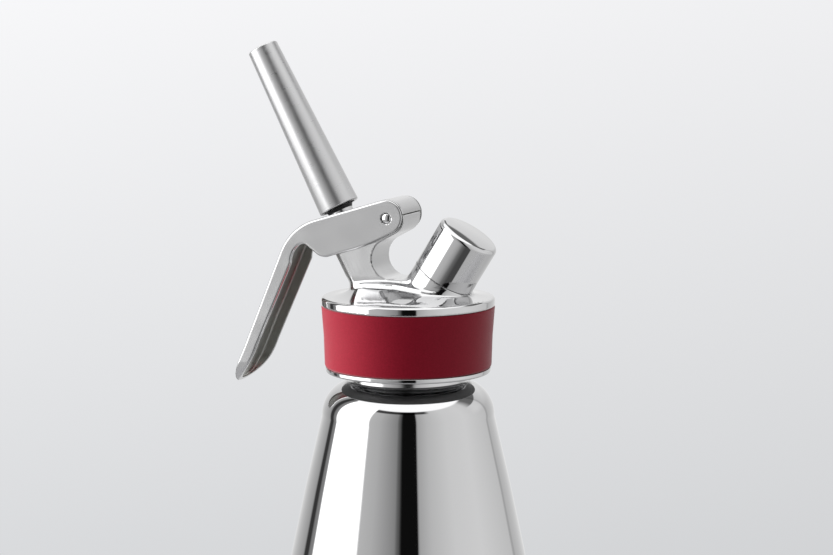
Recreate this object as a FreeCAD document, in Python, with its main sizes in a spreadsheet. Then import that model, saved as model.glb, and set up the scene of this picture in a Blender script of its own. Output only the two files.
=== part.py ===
"""Whipped cream dispenser: an insulated steel bottle with a cast lever head, a nozzle and a charger port.

The origin is the centre of the bottle's base, on the surface that it stands on. +Z is up, -X is the
lever's side and +X is the charger's side. Everything is symmetric about the plane Y = 0.
Lengths are in millimetres and angles in degrees.
"""
import FreeCAD, Part
import math
import os
import Sketcher

doc = FreeCAD.newDocument("WhippedCreamDispenser")
sheet = doc.addObject("Spreadsheet::Sheet", "Dimensions")

# ---------------------------------------------------------------- driving dimensions
# Heights that start with rim_ are measured from the base; those called drop or rise are measured
# from the top plane of the head's rim, which is rim_top above the base.
DIMENSIONS = [
    # bottle
    ("rim_top", 225.0),
    ("shell_wall", 0.8),
    ("relief_radius", 22.3),
    ("relief_drop", 32.2),
    ("shoulder_toe_radius", 23.9),
    ("shoulder_toe_drop", 33.8),
    ("shoulder_radius", 33.9),
    ("shoulder_drop", 47.0),
    ("relief_fillet", 1.6),
    ("shoulder_round", 13.5),
    ("heel_radius", 51.0),
    ("heel_round", 7.0),
    ("foot_step", 0.4),
    ("belly_swell", 1.0),
    ("belly_height", 64.0),
    ("flank_draw", 6.05),
    ("flank_drop", 101.2),
    ("upper_flank_curve", 1600.0),
    ("plate_thickness", 1.2),
    ("getter_radius", 8.0),
    ("getter_height", 3.0),
    ("vacuum_gap", 4.0),
    ("vessel_floor", 9.0),
    ("vessel_round", 12.0),
    ("vessel_shoulder_round", 12.0),
    ("vessel_neck_rise", 8.0),
    ("mouth_radius", 19.8),
    ("mouth_round", 0.8),
    ("thread_radius", 24.0),
    ("thread_clearance", 0.3),
    ("mouth_drop", 10.8),
    ("thread_length", 16.2),
    # gasket
    ("soft_clearance", 0.3),
    ("gasket_inner_radius", 19.9),
    ("gasket_outer_radius", 23.9),
    ("gasket_thickness", 2.2),
    ("tab_width", 8.0),
    ("tab_reach", 17.8),
    # head disc, skirt and grip
    ("disc_radius", 34.0),
    ("disc_thickness", 3.5),
    ("disc_round", 1.3),
    ("disc_foot_round", 0.6),
    ("seat_drop", 8.0),
    ("plug_radius", 17.4),
    ("plug_drop", 12.0),
    ("skirt_radius", 30.0),
    ("skirt_length", 26.0),
    ("flange_radius", 32.5),
    ("flange_thickness", 1.85),
    ("flange_round", 0.7),
    ("grip_top_radius", 33.9),
    ("grip_foot_radius", 32.7),
    ("grip_waist_curve", 260.0),
    ("grip_round", 0.6),
    # platform of the head
    ("platform_rise", 5.75),
    ("platform_end_rise", 3.1),
    ("platform_arch", 70.0),
    ("platform_arch_x", 4.2),
    ("platform_half_length", 23.6),
    ("platform_half_width", 11.2),
    ("platform_foot_half_length", 31.2),
    ("platform_foot_half_width", 30.6),
    ("platform_centre", 0.5),
    # valve axis, neck and its bores; along the axis, heights count from the nozzle's base
    ("nozzle_tilt", 28.07),
    ("nozzle_base_x", 29.46),
    ("nozzle_base_rise", 33.56),
    ("neck_front", 9.2),
    ("neck_half_width", 8.5),
    ("neck_foot_half_width", 8.9),
    ("neck_spread", 30.0),
    ("neck_flat_rise", 8.0),
    ("neck_nose_radius", 10.4),
    ("neck_top_depth", 14.5),
    ("neck_foot_rise", 0.6),
    ("flange_pocket_radius", 8.7),
    ("spring_bore_radius", 7.2),
    ("spring_bore_depth", 22.0),
    ("gland_radius", 5.6),
    ("gland_depth", 23.5),
    ("stem_radius", 4.0),
    ("guide_clearance", 0.08),
    ("port_chamber_radius", 5.2),
    ("port_chamber_depth", 40.5),
    ("valve_seat_depth", 47.5),
    ("poppet_chamber_radius", 8.2),
    # pivot bracket and the window behind the neck
    ("pivot_x", 5.0),
    ("pivot_rise", 31.1),
    ("eye_radius", 4.35),
    ("block_radius", 6.7),
    ("split_rise", 32.85),
    ("split_gap", 0.3),
    ("bracket_top_slope", 29.0),
    ("bracket_back_slope", 28.7),
    ("window_radius", 8.0),
    ("window_x", 3.8),
    ("window_rise", 15.0),
    ("saddle_end_x", 4.0),
    ("pin_radius", 1.95),
    ("pin_clearance", 0.05),
    ("pin_proud", 0.3),
    # lever
    ("lever_half_width", 10.45),
    ("lever_wall", 1.6),
    ("lever_edge_round", 0.9),
    ("tail_radius", 6.75),
    ("tail_rise", 0.55),
    ("lever_top_slope", 16.9),
    ("lever_reach", 41.3),
    ("elbow_radius", 23.0),
    ("arm_angle", 22.8),
    ("arm_length", 70.0),
    ("arm_depth", 5.1),
    ("arm_depth_top", 6.1),
    ("arm_taper_length", 20.0),
    ("arm_taper_curve", 36.0),
    ("arm_tip_wall", 0.5),
    ("arm_notch_distance", 13.0),
    ("notch_radius", 8.6),
    ("notch_end_x", 37.4),
    ("notch_end_drop", 12.1),
    ("notch_turn_radius", 3.2),
    ("notch_turn_x", 33.4),
    ("notch_turn_drop", 12.7),
    ("cheek_corner_x", 30.6),
    ("cheek_corner_drop", 14.6),
    ("cheek_corner_radius", 6.2),
    ("cheek_foot_x", 25.4),
    ("cheek_foot_drop", 16.25),
    ("cheek_edge_x", 13.0),
    ("cheek_edge_drop", 12.5),
    ("cheek_edge_curve", 95.0),
    ("cheek_back_slope", 27.0),
    ("web_hole_radius", 6.7),
    ("web_hole_stretch", 2.3),
    ("cam_radius", 2.0),
    ("cam_depth", 4.5),
    ("cam_reach", 2.1),
    ("countersink_radius", 2.7),
    ("countersink_depth", 0.45),
    # valve
    ("stem_bore_radius", 2.6),
    ("stem_top", 8.0),
    ("stem_foot_radius", 5.5),
    ("stem_foot_thickness", 1.4),
    ("stem_port_radius", 1.5),
    ("seal_radius", 6.6),
    ("seal_thickness", 2.0),
    ("adapter_flange_radius", 8.2),
    ("adapter_flange_thickness", 2.0),
    ("adapter_flange_gap", 0.3),
    ("adapter_neck_radius", 4.8),
    ("adapter_thread_radius", 6.3),
    ("adapter_top", 10.0),
    ("adapter_bore_radius", 3.2),
    ("tip_seal_thickness", 2.2),
    ("tip_seal_radius", 5.9),
    ("tip_seal_foot_radius", 5.2),
    ("washer_thickness", 0.8),
    ("o_ring_thickness", 1.2),
    ("spring_radius", 5.9),
    ("spring_wire", 0.9),
    ("spring_turns", 4.5),
    ("spring_gap", 0.1),
    # nozzle
    ("nozzle_length", 70.4),
    ("nozzle_base_radius", 8.15),
    ("nozzle_tip_radius", 6.1),
    ("nozzle_bore_radius", 4.6),
    ("nozzle_socket_radius", 6.6),
    ("nozzle_socket_depth", 12.0),
    ("nozzle_round", 0.5),
    # charger port; along its axis, heights count from the seam under the cap
    ("port_tilt", 32.1),
    ("port_x", 15.3),
    ("port_rise", 8.4),
    ("port_radius", 12.3),
    ("port_root", 11.0),
    ("seam_gap", 0.3),
    ("cap_length", 20.9),
    ("cap_wall", 2.0),
    ("cap_round", 2.4),
    ("socket_radius", 10.0),
    ("socket_top", 14.0),
    ("socket_root", 6.0),
    ("socket_floor", 1.8),
    ("charger_bore_radius", 4.7),
    ("needle_radius", 1.2),
    ("needle_tip", 0.5),
    ("needle_base_radius", 2.5),
    ("needle_base_thickness", 2.0),
    ("charger_seal_radius", 4.4),
    ("charger_seal_inner_radius", 1.7),
    ("charger_seal_thickness", 2.0),
    ("gas_channel_radius", 0.9),
    ("check_recess_radius", 3.2),
    ("check_disc_radius", 3.0),
    ("check_disc_thickness", 1.5),
]

for row, (alias, number) in enumerate(DIMENSIONS, start=1):
    sheet.set("A%d" % row, alias.replace("_", " "))
    sheet.set("B%d" % row, str(number))
    sheet.setAlias("B%d" % row, alias)
doc.recompute()


class Size:
    """A number together with the expression on the sheet that gives it."""

    def __init__(self, value, text):
        self.value = float(value)
        self.text = text

    def __add__(self, other):
        other = as_size(other)
        return Size(self.value + other.value, "(%s + %s)" % (self.text, other.text))

    def __sub__(self, other):
        other = as_size(other)
        return Size(self.value - other.value, "(%s - %s)" % (self.text, other.text))

    def __mul__(self, other):
        other = as_size(other)
        return Size(self.value * other.value, "(%s * %s)" % (self.text, other.text))

    def __truediv__(self, other):
        other = as_size(other)
        return Size(self.value / other.value, "(%s / %s)" % (self.text, other.text))

    def __rsub__(self, other):
        return as_size(other) - self

    def __neg__(self):
        return Size(-self.value, "(-1 * %s)" % self.text)

    __radd__ = __add__
    __rmul__ = __mul__


def as_size(number):
    """A plain number becomes a Size, and a Size stays as it is."""
    if isinstance(number, Size):
        return number
    return Size(number, "(%.6f)" % number)


def root(size):
    return Size(math.sqrt(size.value), "sqrt(%s)" % size.text)


def sine(angle):
    return Size(math.sin(math.radians(angle.value)), "sin(%s)" % angle.text)


def cosine(angle):
    return Size(math.cos(math.radians(angle.value)), "cos(%s)" % angle.text)


def tangent(angle):
    return sine(angle) / cosine(angle)


class Sheet:
    """Reads a named cell of the spreadsheet as a Size."""

    def __getattr__(self, name):
        return Size(sheet.get(name), "Dimensions." + name)


d = Sheet()


def bind(thing, **sizes):
    """Binds properties of a document object to sizes; a double underscore stands for a dot."""
    for path, size in sizes.items():
        thing.setExpression(path.replace("__", "."), as_size(size).text)


def tilt(thing, x, z, lean, y=0):
    """Stands an object at (x, y, z), leaning by lean degrees towards +X, or -X where lean is negative."""
    side = 1 if lean.value > 0 else -1
    turn = FreeCAD.Rotation(FreeCAD.Vector(0, side, 0), 30)
    thing.Placement = FreeCAD.Placement(FreeCAD.Vector(0, 0, 0), turn)
    bind(thing, Placement__Base__x=x, Placement__Base__y=y, Placement__Base__z=z,
         Placement__Rotation__Angle=lean * side)


def plane(body, role):
    for feature in body.Origin.OriginFeatures:
        if feature.Role == role:
            return feature


def step_value(step, kind):
    return step[0] if kind == "DistanceX" else step[1]


def add_outline(body, name, role, path):
    """Adds a closed sketch on one of the body's origin planes.

    Each step of the path is (x, y), a straight run to that corner, or (x, y, radius), an arc to it.
    A positive radius turns left along the way and a negative one turns right.
    """
    sketch = body.newObject("Sketcher::SketchObject", name)
    sketch.AttachmentSupport = [(plane(body, role), "")]
    sketch.MapMode = "FlatFace"
    corners = [(as_size(step[0]), as_size(step[1])) for step in path]
    ends = []
    for index, step in enumerate(path):
        start = FreeCAD.Vector(corners[index - 1][0].value, corners[index - 1][1].value, 0)
        end = FreeCAD.Vector(corners[index][0].value, corners[index][1].value, 0)
        if len(step) == 2:
            edge = sketch.addGeometry(Part.LineSegment(start, end), False)
            ends.append((edge, 1, 2))
            continue
        turn = as_size(step[2])
        radius = abs(turn.value)
        left = turn.value > 0
        chord = end - start
        across = FreeCAD.Vector(-chord.y, chord.x, 0).normalize()
        reach = math.sqrt(radius ** 2 - (chord.Length / 2) ** 2)
        centre = (start + end) * 0.5 + across * (reach if left else -reach)
        first, last = (start, end) if left else (end, start)
        angles = [math.atan2(point.y - centre.y, point.x - centre.x) for point in (first, last)]
        circle = Part.Circle(centre, FreeCAD.Vector(0, 0, 1), radius)
        edge = sketch.addGeometry(Part.ArcOfCircle(circle, angles[0], angles[1]), False)
        ends.append((edge, 1, 2) if left else (edge, 2, 1))
        number = sketch.addConstraint(Sketcher.Constraint("Radius", edge, radius))
        sketch.setExpression("Constraints[%d]" % number, (turn if left else -turn).text)
    for index, (edge, head, tail) in enumerate(ends):
        following = ends[(index + 1) % len(ends)]
        sketch.addConstraint(Sketcher.Constraint("Coincident", edge, tail, following[0], following[1]))
        for kind, axis, size in (("DistanceX", -2, corners[index][0]), ("DistanceY", -1, corners[index][1])):
            if step_value(path[index], kind) == 0:
                sketch.addConstraint(Sketcher.Constraint("PointOnObject", edge, tail, axis))
                continue
            number = sketch.addConstraint(Sketcher.Constraint(kind, -1, 1, edge, tail, size.value))
            sketch.setExpression("Constraints[%d]" % number, size.text)
    return sketch


def turn_body(name, path):
    """A body of revolution about its own Z axis; the path holds radii and heights."""
    body = doc.addObject("PartDesign::Body", name)
    sketch = add_outline(body, name + "Outline", "XZ_Plane", path)
    turned = body.newObject("PartDesign::Revolution", name + "Turned")
    turned.Profile = sketch
    turned.ReferenceAxis = (sketch, ["V_Axis"])
    turned.Angle = 360
    return body


def pad_body(name, role, path, width, symmetric=True):
    """A body that is an outline on one origin plane, given a width."""
    body = doc.addObject("PartDesign::Body", name)
    sketch = add_outline(body, name + "Outline", role, path)
    pad = body.newObject("PartDesign::Pad", name + "Pad")
    pad.Profile = sketch
    pad.SideType = "Symmetric" if symmetric else "One side"
    bind(pad, Length=width)
    return body


def cylinder(name, radius, height):
    rod = doc.addObject("Part::Cylinder", name)
    bind(rod, Radius=radius, Height=height)
    return rod


def fuse(name, *shapes):
    joined = doc.addObject("Part::MultiFuse", name)
    joined.Shapes = list(shapes)
    joined.Refine = True
    return joined


def common(name, *shapes):
    shared = doc.addObject("Part::MultiCommon", name)
    shared.Shapes = list(shapes)
    shared.Refine = True
    return shared


def cut(name, base, tool):
    rest = doc.addObject("Part::Cut", name)
    rest.Base = base
    rest.Tool = tool
    rest.Refine = True
    return rest


nodes = {}


def add_node(name, thing):
    thing.Label = name
    nodes[name] = thing


def above(drop):
    """The height over the base of a place that lies drop below the rim's top plane."""
    return d.rim_top - drop


# ---------------------------------------------------------------- valve axis
# The valve, the neck's bores and the nozzle share one axis. It leans towards the lever by nozzle_tilt.
# Heights along it count from the centre of the nozzle's base.
axis_x = -d.nozzle_base_x
axis_z = d.rim_top + d.nozzle_base_rise
axis_sine = sine(d.nozzle_tilt)
axis_cosine = cosine(d.nozzle_tilt)


def stand_on_valve_axis(thing, height=0, across=0, y=0):
    """Places an object on the valve axis; across counts from the axis towards the pivot."""
    height = as_size(height)
    across = as_size(across)
    tilt(thing, axis_x - height * axis_sine + across * axis_cosine,
         axis_z + height * axis_cosine + across * axis_sine, -d.nozzle_tilt, y)


def valve_bore(name, radius, low, high):
    bore = cylinder(name, radius, high - low)
    stand_on_valve_axis(bore, low)
    return bore


# ---------------------------------------------------------------- charger port axis
port_sine = sine(d.port_tilt)
port_cosine = cosine(d.port_tilt)


def stand_on_port_axis(thing, height=0):
    height = as_size(height)
    tilt(thing, d.port_x + height * port_sine, d.rim_top + d.port_rise + height * port_cosine, d.port_tilt)


def port_bore(name, radius, low, high):
    bore = cylinder(name, radius, high - low)
    stand_on_port_axis(bore, low)
    return bore


# ---------------------------------------------------------------- bottle
# The outer shell is spun from sheet. Its lower flank runs into the belly on one arc that is upright
# at the belly, so the arc's radius follows from its ends.
belly_radius = d.heel_radius + d.belly_swell
flank_radius = belly_radius - d.flank_draw
foot_radius = d.heel_radius - d.heel_round - d.foot_step
flank_run = above(d.flank_drop) - d.belly_height
belly_arc = (flank_run * flank_run + d.flank_draw * d.flank_draw) / (d.flank_draw * 2)
wall = d.shell_wall
weld_lap = 0.7


def reversed_path(path):
    """The same run the other way round, so that two runs close into a wall."""
    run = [path[-1][:2]]
    for index in range(len(path) - 1, 0, -1):
        corner = path[index - 1][:2]
        run.append(corner + (-as_size(path[index][2]),) if len(path[index]) == 3 else corner)
    return run


def shell_path(inset):
    """The shell's outline from the foot up to the weld at the neck, moved inwards by inset."""
    return [
        (foot_radius, inset),
        (d.heel_radius - d.heel_round, inset),
        (d.heel_radius - inset, d.heel_round, d.heel_round - inset),
        (belly_radius - inset, d.belly_height),
        (flank_radius - inset, above(d.flank_drop), belly_arc - inset),
        (d.shoulder_radius - inset, above(d.shoulder_drop) - inset * 0.5, d.upper_flank_curve - inset),
        (d.shoulder_toe_radius - inset * 0.2, above(d.shoulder_toe_drop) - inset, d.shoulder_round - inset),
        (d.relief_radius - inset, above(d.relief_drop) - inset * 0.2, -(d.relief_fillet + inset)),
    ]


outside = shell_path(as_size(0))
inside = shell_path(wall)
top_edge = above(d.relief_drop) + weld_lap
neck_run = [(d.relief_radius, top_edge), (d.relief_radius - wall, top_edge)]
outer_shell = turn_body("OuterShell", outside + neck_run + reversed_path(inside))
add_node("outer_shell", outer_shell)

base_plate = turn_body("BasePlate", [
    (0, 0), (foot_radius, 0), (foot_radius, d.plate_thickness), (0, d.plate_thickness)])
add_node("base_plate", base_plate)

getter_top = d.plate_thickness + d.getter_height
getter_edge = 0.8
getter = turn_body("Getter", [
    (0, d.plate_thickness),
    (d.getter_radius, d.plate_thickness),
    (d.getter_radius, getter_top - getter_edge),
    (d.getter_radius - getter_edge, getter_top),
    (0, getter_top)])
add_node("vacuum_getter", getter)

# The inner vessel is a second bottle inside the first. The gap between them holds a vacuum.
thread_foot = above(d.mouth_drop + d.thread_length)
tube_lap = 2
tube_top = thread_foot + tube_lap
vessel_neck_foot = above(d.shoulder_drop) + d.vessel_neck_rise
vessel_inset = wall + d.vacuum_gap


def vessel_path(depth):
    """The vessel's outline from its floor to the top of its neck tube, depth inside its outer face."""
    inset = vessel_inset + depth
    return [
        (0, d.vessel_floor + depth),
        (d.heel_radius - inset - d.vessel_round, d.vessel_floor + depth),
        (d.heel_radius - inset, d.vessel_floor + depth + d.vessel_round, d.vessel_round),
        (belly_radius - inset, d.belly_height),
        (flank_radius - inset, above(d.flank_drop), belly_arc - inset),
        (d.shoulder_radius - inset, above(d.shoulder_drop) - inset * 0.5, d.upper_flank_curve - inset),
        (d.mouth_radius + wall - depth, vessel_neck_foot - depth * 0.5, d.vessel_shoulder_round - depth),
        (d.mouth_radius + wall - depth, tube_top),
    ]


inner_vessel = turn_body("InnerVessel", vessel_path(as_size(0)) + reversed_path(vessel_path(wall)))
add_node("inner_vessel", inner_vessel)

mouth_top = above(d.mouth_drop)
lip_round = d.mouth_round
thread_chamfer = 1
neck_ring = turn_body("NeckRing", [
    (d.mouth_radius + wall, top_edge),
    (d.relief_radius, top_edge),
    (d.relief_radius, thread_foot),
    (d.thread_radius, thread_foot + thread_chamfer),
    (d.thread_radius, mouth_top - lip_round),
    (d.thread_radius - lip_round, mouth_top, lip_round),
    (d.mouth_radius + lip_round, mouth_top),
    (d.mouth_radius, mouth_top - lip_round, lip_round),
    (d.mouth_radius, tube_top),
    (d.mouth_radius + wall, tube_top)])
add_node("neck_ring", neck_ring)

# ---------------------------------------------------------------- gasket
# The silicone gasket lies between the bottle's mouth and the head, with a small clearance on each.
gasket_foot = mouth_top + d.soft_clearance
gasket_top = gasket_foot + d.gasket_thickness
gasket_ring = turn_body("GasketRing", [
    (d.gasket_inner_radius, gasket_foot), (d.gasket_outer_radius, gasket_foot),
    (d.gasket_outer_radius, gasket_top), (d.gasket_inner_radius, gasket_top)])
gasket_tab = doc.addObject("Part::Box", "GasketTab")
tab_root = 1.0
bind(gasket_tab, Length=d.gasket_inner_radius + tab_root - d.tab_reach, Width=d.tab_width,
     Height=d.gasket_thickness, Placement__Base__x=d.tab_reach, Placement__Base__y=-d.tab_width / 2,
     Placement__Base__z=gasket_foot)
add_node("head_gasket", fuse("HeadGasket", gasket_ring, gasket_tab))

# ---------------------------------------------------------------- threaded skirt and grip
disc_foot = above(d.disc_thickness)
skirt_inner = d.thread_radius + d.thread_clearance
skirt_foot = disc_foot - d.skirt_length
flange_top = skirt_foot + d.flange_thickness
flange_round = d.flange_round
flange_edge = 0.3
skirt_chamfer = 0.6
skirt = turn_body("ThreadedSkirt", [
    (skirt_inner + skirt_chamfer, skirt_foot),
    (d.flange_radius - flange_round, skirt_foot),
    (d.flange_radius, skirt_foot + flange_round, flange_round),
    (d.flange_radius, flange_top - flange_edge),
    (d.flange_radius - flange_edge, flange_top, flange_edge),
    (d.skirt_radius, flange_top),
    (d.skirt_radius, disc_foot),
    (skirt_inner, disc_foot),
    (skirt_inner, skirt_foot + skirt_chamfer)])
add_node("threaded_skirt", skirt)

grip = turn_body("SiliconeGrip", [
    (d.skirt_radius, flange_top),
    (d.grip_foot_radius - d.grip_round * 2, flange_top),
    (d.grip_foot_radius, flange_top + d.grip_round * 2, d.grip_round * 2),
    (d.grip_top_radius, disc_foot - d.grip_round, -d.grip_waist_curve),
    (d.grip_top_radius - d.grip_round, disc_foot, d.grip_round),
    (d.skirt_radius, disc_foot)])
add_node("silicone_grip", grip)

# ---------------------------------------------------------------- head casting
# Disc and plug: the plug seats on the gasket and reaches into the bottle's mouth.
disc_round = d.disc_round
foot_round = d.disc_foot_round
seat = above(d.seat_drop)
plug_foot = above(d.plug_drop)
plug_chamfer = 1
head_disc = turn_body("HeadDisc", [
    (0, plug_foot),
    (d.plug_radius - plug_chamfer, plug_foot),
    (d.plug_radius, plug_foot + plug_chamfer),
    (d.plug_radius, seat),
    (skirt_inner, seat),
    (skirt_inner, disc_foot),
    (d.disc_radius - foot_round, disc_foot),
    (d.disc_radius, disc_foot + foot_round, foot_round),
    (d.disc_radius, d.rim_top - disc_round),
    (d.disc_radius - disc_round, d.rim_top, disc_round),
    (0, d.rim_top)])

# The platform flares from a narrow oval top to a nearly round foot. Its sections are ellipses on a
# concave quarter round, which starts a little inside the disc so that the two join cleanly.
platform_sections = []
section_count = 6
first_angle = 12
sunk = 0.6
for index in range(section_count):
    angle = math.radians(first_angle + (90 - first_angle) * index / (section_count - 1))
    flare = 1 - math.sin(angle)
    oval = doc.addObject("Part::Ellipse", "PlatformSection%d" % index)
    bind(oval,
         MajorRadius=d.platform_half_length + (d.platform_foot_half_length - d.platform_half_length) * flare,
         MinorRadius=d.platform_half_width + (d.platform_foot_half_width - d.platform_half_width) * flare,
         Placement__Base__x=d.platform_centre,
         Placement__Base__z=d.rim_top - sunk + (d.platform_rise + sunk) * (1 - math.cos(angle)))
    platform_sections.append(oval)
flared = doc.addObject("Part::Loft", "PlatformFlare")
flared.Sections = platform_sections
flared.Solid = True
flared.Ruled = False

# The platform's top is arched: it is highest under the window and falls to both ends.
arch_fall = d.platform_rise - d.platform_end_rise
arch_half = root(d.platform_arch * arch_fall * 2 - arch_fall * arch_fall)
arch_end = d.rim_top + d.platform_end_rise
arch_foot = above(d.disc_thickness)
arched = pad_body("PlatformArched", "XZ_Plane", [
    (-d.disc_radius, arch_foot), (d.disc_radius, arch_foot), (d.disc_radius, arch_end),
    (arch_half - d.platform_arch_x, arch_end),
    (-arch_half - d.platform_arch_x, arch_end, d.platform_arch),
    (-d.disc_radius, arch_end)], d.disc_radius * 2)
platform = common("Platform", flared, arched)

# The neck and the pivot bracket are one side profile.
pivot_x = -d.pivot_x
pivot_z = d.rim_top + d.pivot_rise


def from_pivot(along, across, slope, rise=0):
    """A corner set out from rise above the pivot: along runs down a slope towards -X, across above it."""
    return (pivot_x - along * cosine(slope) - across * sine(slope),
            pivot_z + rise - along * sine(slope) + across * cosine(slope))


def on_axis(height, across):
    """A corner set out from the valve axis: height along it and across it towards the pivot."""
    return (axis_x - height * axis_sine + across * axis_cosine,
            axis_z + height * axis_cosine + across * axis_sine)


def on_arc(radius, rise, centre=0):
    """The corner on the +X side of a circle, at a height over the pivot; centre is its own height there."""
    step = rise - centre
    return (pivot_x + root(radius * radius - step * step), pivot_z + rise)


eye = d.eye_radius
block = d.block_radius
ledge_rise = d.split_rise - d.split_gap - d.pivot_rise
neck_top = -d.neck_top_depth
pocket = d.flange_pocket_radius
top_slope = d.bracket_top_slope
back_slope = d.bracket_back_slope
neck_foot = d.rim_top + d.neck_foot_rise
# the front edge meets the foot level where its height over the base is neck_foot
front_shift = d.neck_front
front_top = on_axis(neck_top, -front_shift)
front_foot_x = front_top[0] + (front_top[1] - neck_foot) * tangent(d.nozzle_tilt)
# the pocket's wall meets the bracket's sloping top
eye_top = from_pivot(as_size(0), eye, top_slope)
pocket_foot = on_axis(neck_top, pocket)
rise_to_top = (eye_top[1] - pocket_foot[1] - (eye_top[0] - pocket_foot[0]) * tangent(top_slope)) / (
    axis_cosine + axis_sine * tangent(top_slope))
pocket_top = (pocket_foot[0] - rise_to_top * axis_sine, pocket_foot[1] + rise_to_top * axis_cosine)
window_x = -d.window_x
window_z = d.rim_top + d.window_rise
window = d.window_radius
window_top = (window_x - window * sine(back_slope), window_z + window * cosine(back_slope))
neck_profile = [
    (front_foot_x, neck_foot),
    (d.saddle_end_x, neck_foot),
    (d.saddle_end_x, window_z - window),
    (window_x, window_z - window),
    (window_x - window, window_z, -window),
    window_top + (-window,),
    (pivot_x + block * sine(back_slope), pivot_z - block * cosine(back_slope)),
    on_arc(block, ledge_rise) + (block,),
    on_arc(eye, ledge_rise),
    eye_top + (eye,),
    pocket_top,
    pocket_foot,
    front_top]
head_width = d.platform_foot_half_width * 2
neck_side = pad_body("NeckSide", "XZ_Plane", neck_profile, head_width)

# Seen from the front, the neck has flat cheeks that spread a little towards the platform.
spread_rise = d.neck_flat_rise
spread_foot = d.platform_end_rise
half = d.neck_half_width
foot_half = d.neck_foot_half_width
neck_head = pivot_z + d.tail_radius * 2
neck_front = pad_body("NeckFront", "YZ_Plane", [
    (-foot_half, d.rim_top), (foot_half, d.rim_top), (foot_half, d.rim_top + spread_foot),
    (half, d.rim_top + spread_rise, -d.neck_spread), (half, neck_head), (-half, neck_head),
    (-half, d.rim_top + spread_rise),
    (-foot_half, d.rim_top + spread_foot, -d.neck_spread)], d.disc_radius * 4)

# Seen along the valve axis, the neck has a half-round front.
round_front = d.neck_nose_radius
front_centre = round_front - d.neck_front
neck_reach = d.nozzle_base_x * 2
neck_plan = pad_body("NeckPlan", "XY_Plane", [
    (front_centre, -round_front, round_front), (neck_reach, -round_front), (neck_reach, round_front),
    (front_centre, round_front), (front_centre - round_front, 0, round_front)], d.nozzle_length * 2)
stand_on_valve_axis(neck_plan)
neck = common("Neck", neck_side, neck_front, neck_plan)

# The charger boss leans the other way.
boss = port_bore("PortBoss", d.port_radius, -d.port_root, as_size(0))
casting = fuse("HeadCasting", head_disc, platform, neck, boss)

# Bores: from the top the valve's flange pocket, spring bore, O-ring gland, stem guide, port chamber
# and poppet chamber. Neighbouring bores overlap by bore_lap.
bore_lap = 1
far = d.nozzle_length
guide = d.stem_radius + d.guide_clearance
seat_depth = d.valve_seat_depth
lapped_seat = -seat_depth - bore_lap
flange_pocket = valve_bore("FlangePocket", pocket, neck_top, as_size(0))
spring_bore = valve_bore("SpringBore", d.spring_bore_radius, -d.spring_bore_depth, as_size(0))
gland = valve_bore("Gland", d.gland_radius, -d.gland_depth, as_size(0))
stem_guide = valve_bore("StemGuide", guide, lapped_seat, as_size(0))
port_chamber = valve_bore("PortChamber", d.port_chamber_radius, lapped_seat, -d.port_chamber_depth)
poppet_chamber = valve_bore("PoppetChamber", d.poppet_chamber_radius, -far, -seat_depth)

# The charger port has a seat for the socket and the needle, and a channel down to the check valve.
cap_clearance = 0.5
spot_face = port_bore("PortSpotFace", d.port_radius + cap_clearance, as_size(0), d.cap_length * 2)
socket_seat = port_bore("SocketSeat", d.socket_radius, -d.socket_root, as_size(bore_lap))
needle_low = d.socket_root + d.needle_base_thickness
needle_seat = port_bore("NeedleSeat", d.needle_base_radius, -needle_low, as_size(0))
channel_x = d.port_x - needle_low * port_sine
channel_top = d.rim_top + d.port_rise - needle_low * port_cosine
gas_channel = cylinder("GasChannel", d.gas_channel_radius, channel_top + bore_lap - plug_foot)
bind(gas_channel, Placement__Base__x=channel_x, Placement__Base__z=plug_foot)
check_recess = cylinder("CheckRecess", d.check_recess_radius, seat - plug_foot + bore_lap)
bind(check_recess, Placement__Base__x=channel_x, Placement__Base__z=plug_foot - bore_lap)


def lay_across(thing):
    """Turns an object so that its own Z axis lies along -Y."""
    turn = FreeCAD.Rotation(FreeCAD.Vector(1, 0, 0), 90)
    thing.Placement = FreeCAD.Placement(FreeCAD.Vector(0, 0, 0), turn)


pin_hole = cylinder("PinHole", d.pin_radius, d.lever_half_width * 4)
lay_across(pin_hole)
bind(pin_hole, Placement__Base__x=pivot_x, Placement__Base__y=d.lever_half_width * 2,
     Placement__Base__z=pivot_z)
head_bores = fuse("HeadBores", flange_pocket, spring_bore, gland, stem_guide, port_chamber,
                  poppet_chamber, spot_face, socket_seat, needle_seat, gas_channel, check_recess,
                  pin_hole)
add_node("head_body", cut("HeadBody", casting, head_bores))

# ---------------------------------------------------------------- pieces fixed in the head
# The pivot pin is held in the bracket. It turns in the lever's cheeks and ends in low domes.
pin_end = d.lever_half_width + d.pin_proud
dome_height = 0.63
dome_flat = d.pin_radius * 0.55
dome_foot = pin_end - dome_height
lever_pin = turn_body("LeverPin", [
    (0, -pin_end),
    (dome_flat, -pin_end),
    (d.pin_radius, -dome_foot, d.pin_radius),
    (d.pin_radius, dome_foot),
    (dome_flat, pin_end, d.pin_radius),
    (0, pin_end)])
lay_across(lever_pin)
bind(lever_pin, Placement__Base__x=pivot_x, Placement__Base__z=pivot_z)
add_node("lever_pin", lever_pin)

# The steel socket is screwed into the boss. A charger's neck goes into its bore, onto the needle.
socket_floor = -d.socket_root + d.socket_floor
socket_lip = 0.8
charger_socket = turn_body("ChargerSocket", [
    (d.needle_radius, -d.socket_root), (d.socket_radius, -d.socket_root),
    (d.socket_radius, d.socket_top - socket_lip), (d.socket_radius - socket_lip, d.socket_top),
    (d.charger_bore_radius + socket_lip, d.socket_top),
    (d.charger_bore_radius, d.socket_top - socket_lip), (d.charger_bore_radius, socket_floor),
    (d.needle_radius, socket_floor)])
stand_on_port_axis(charger_socket)
add_node("charger_socket", charger_socket)

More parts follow.
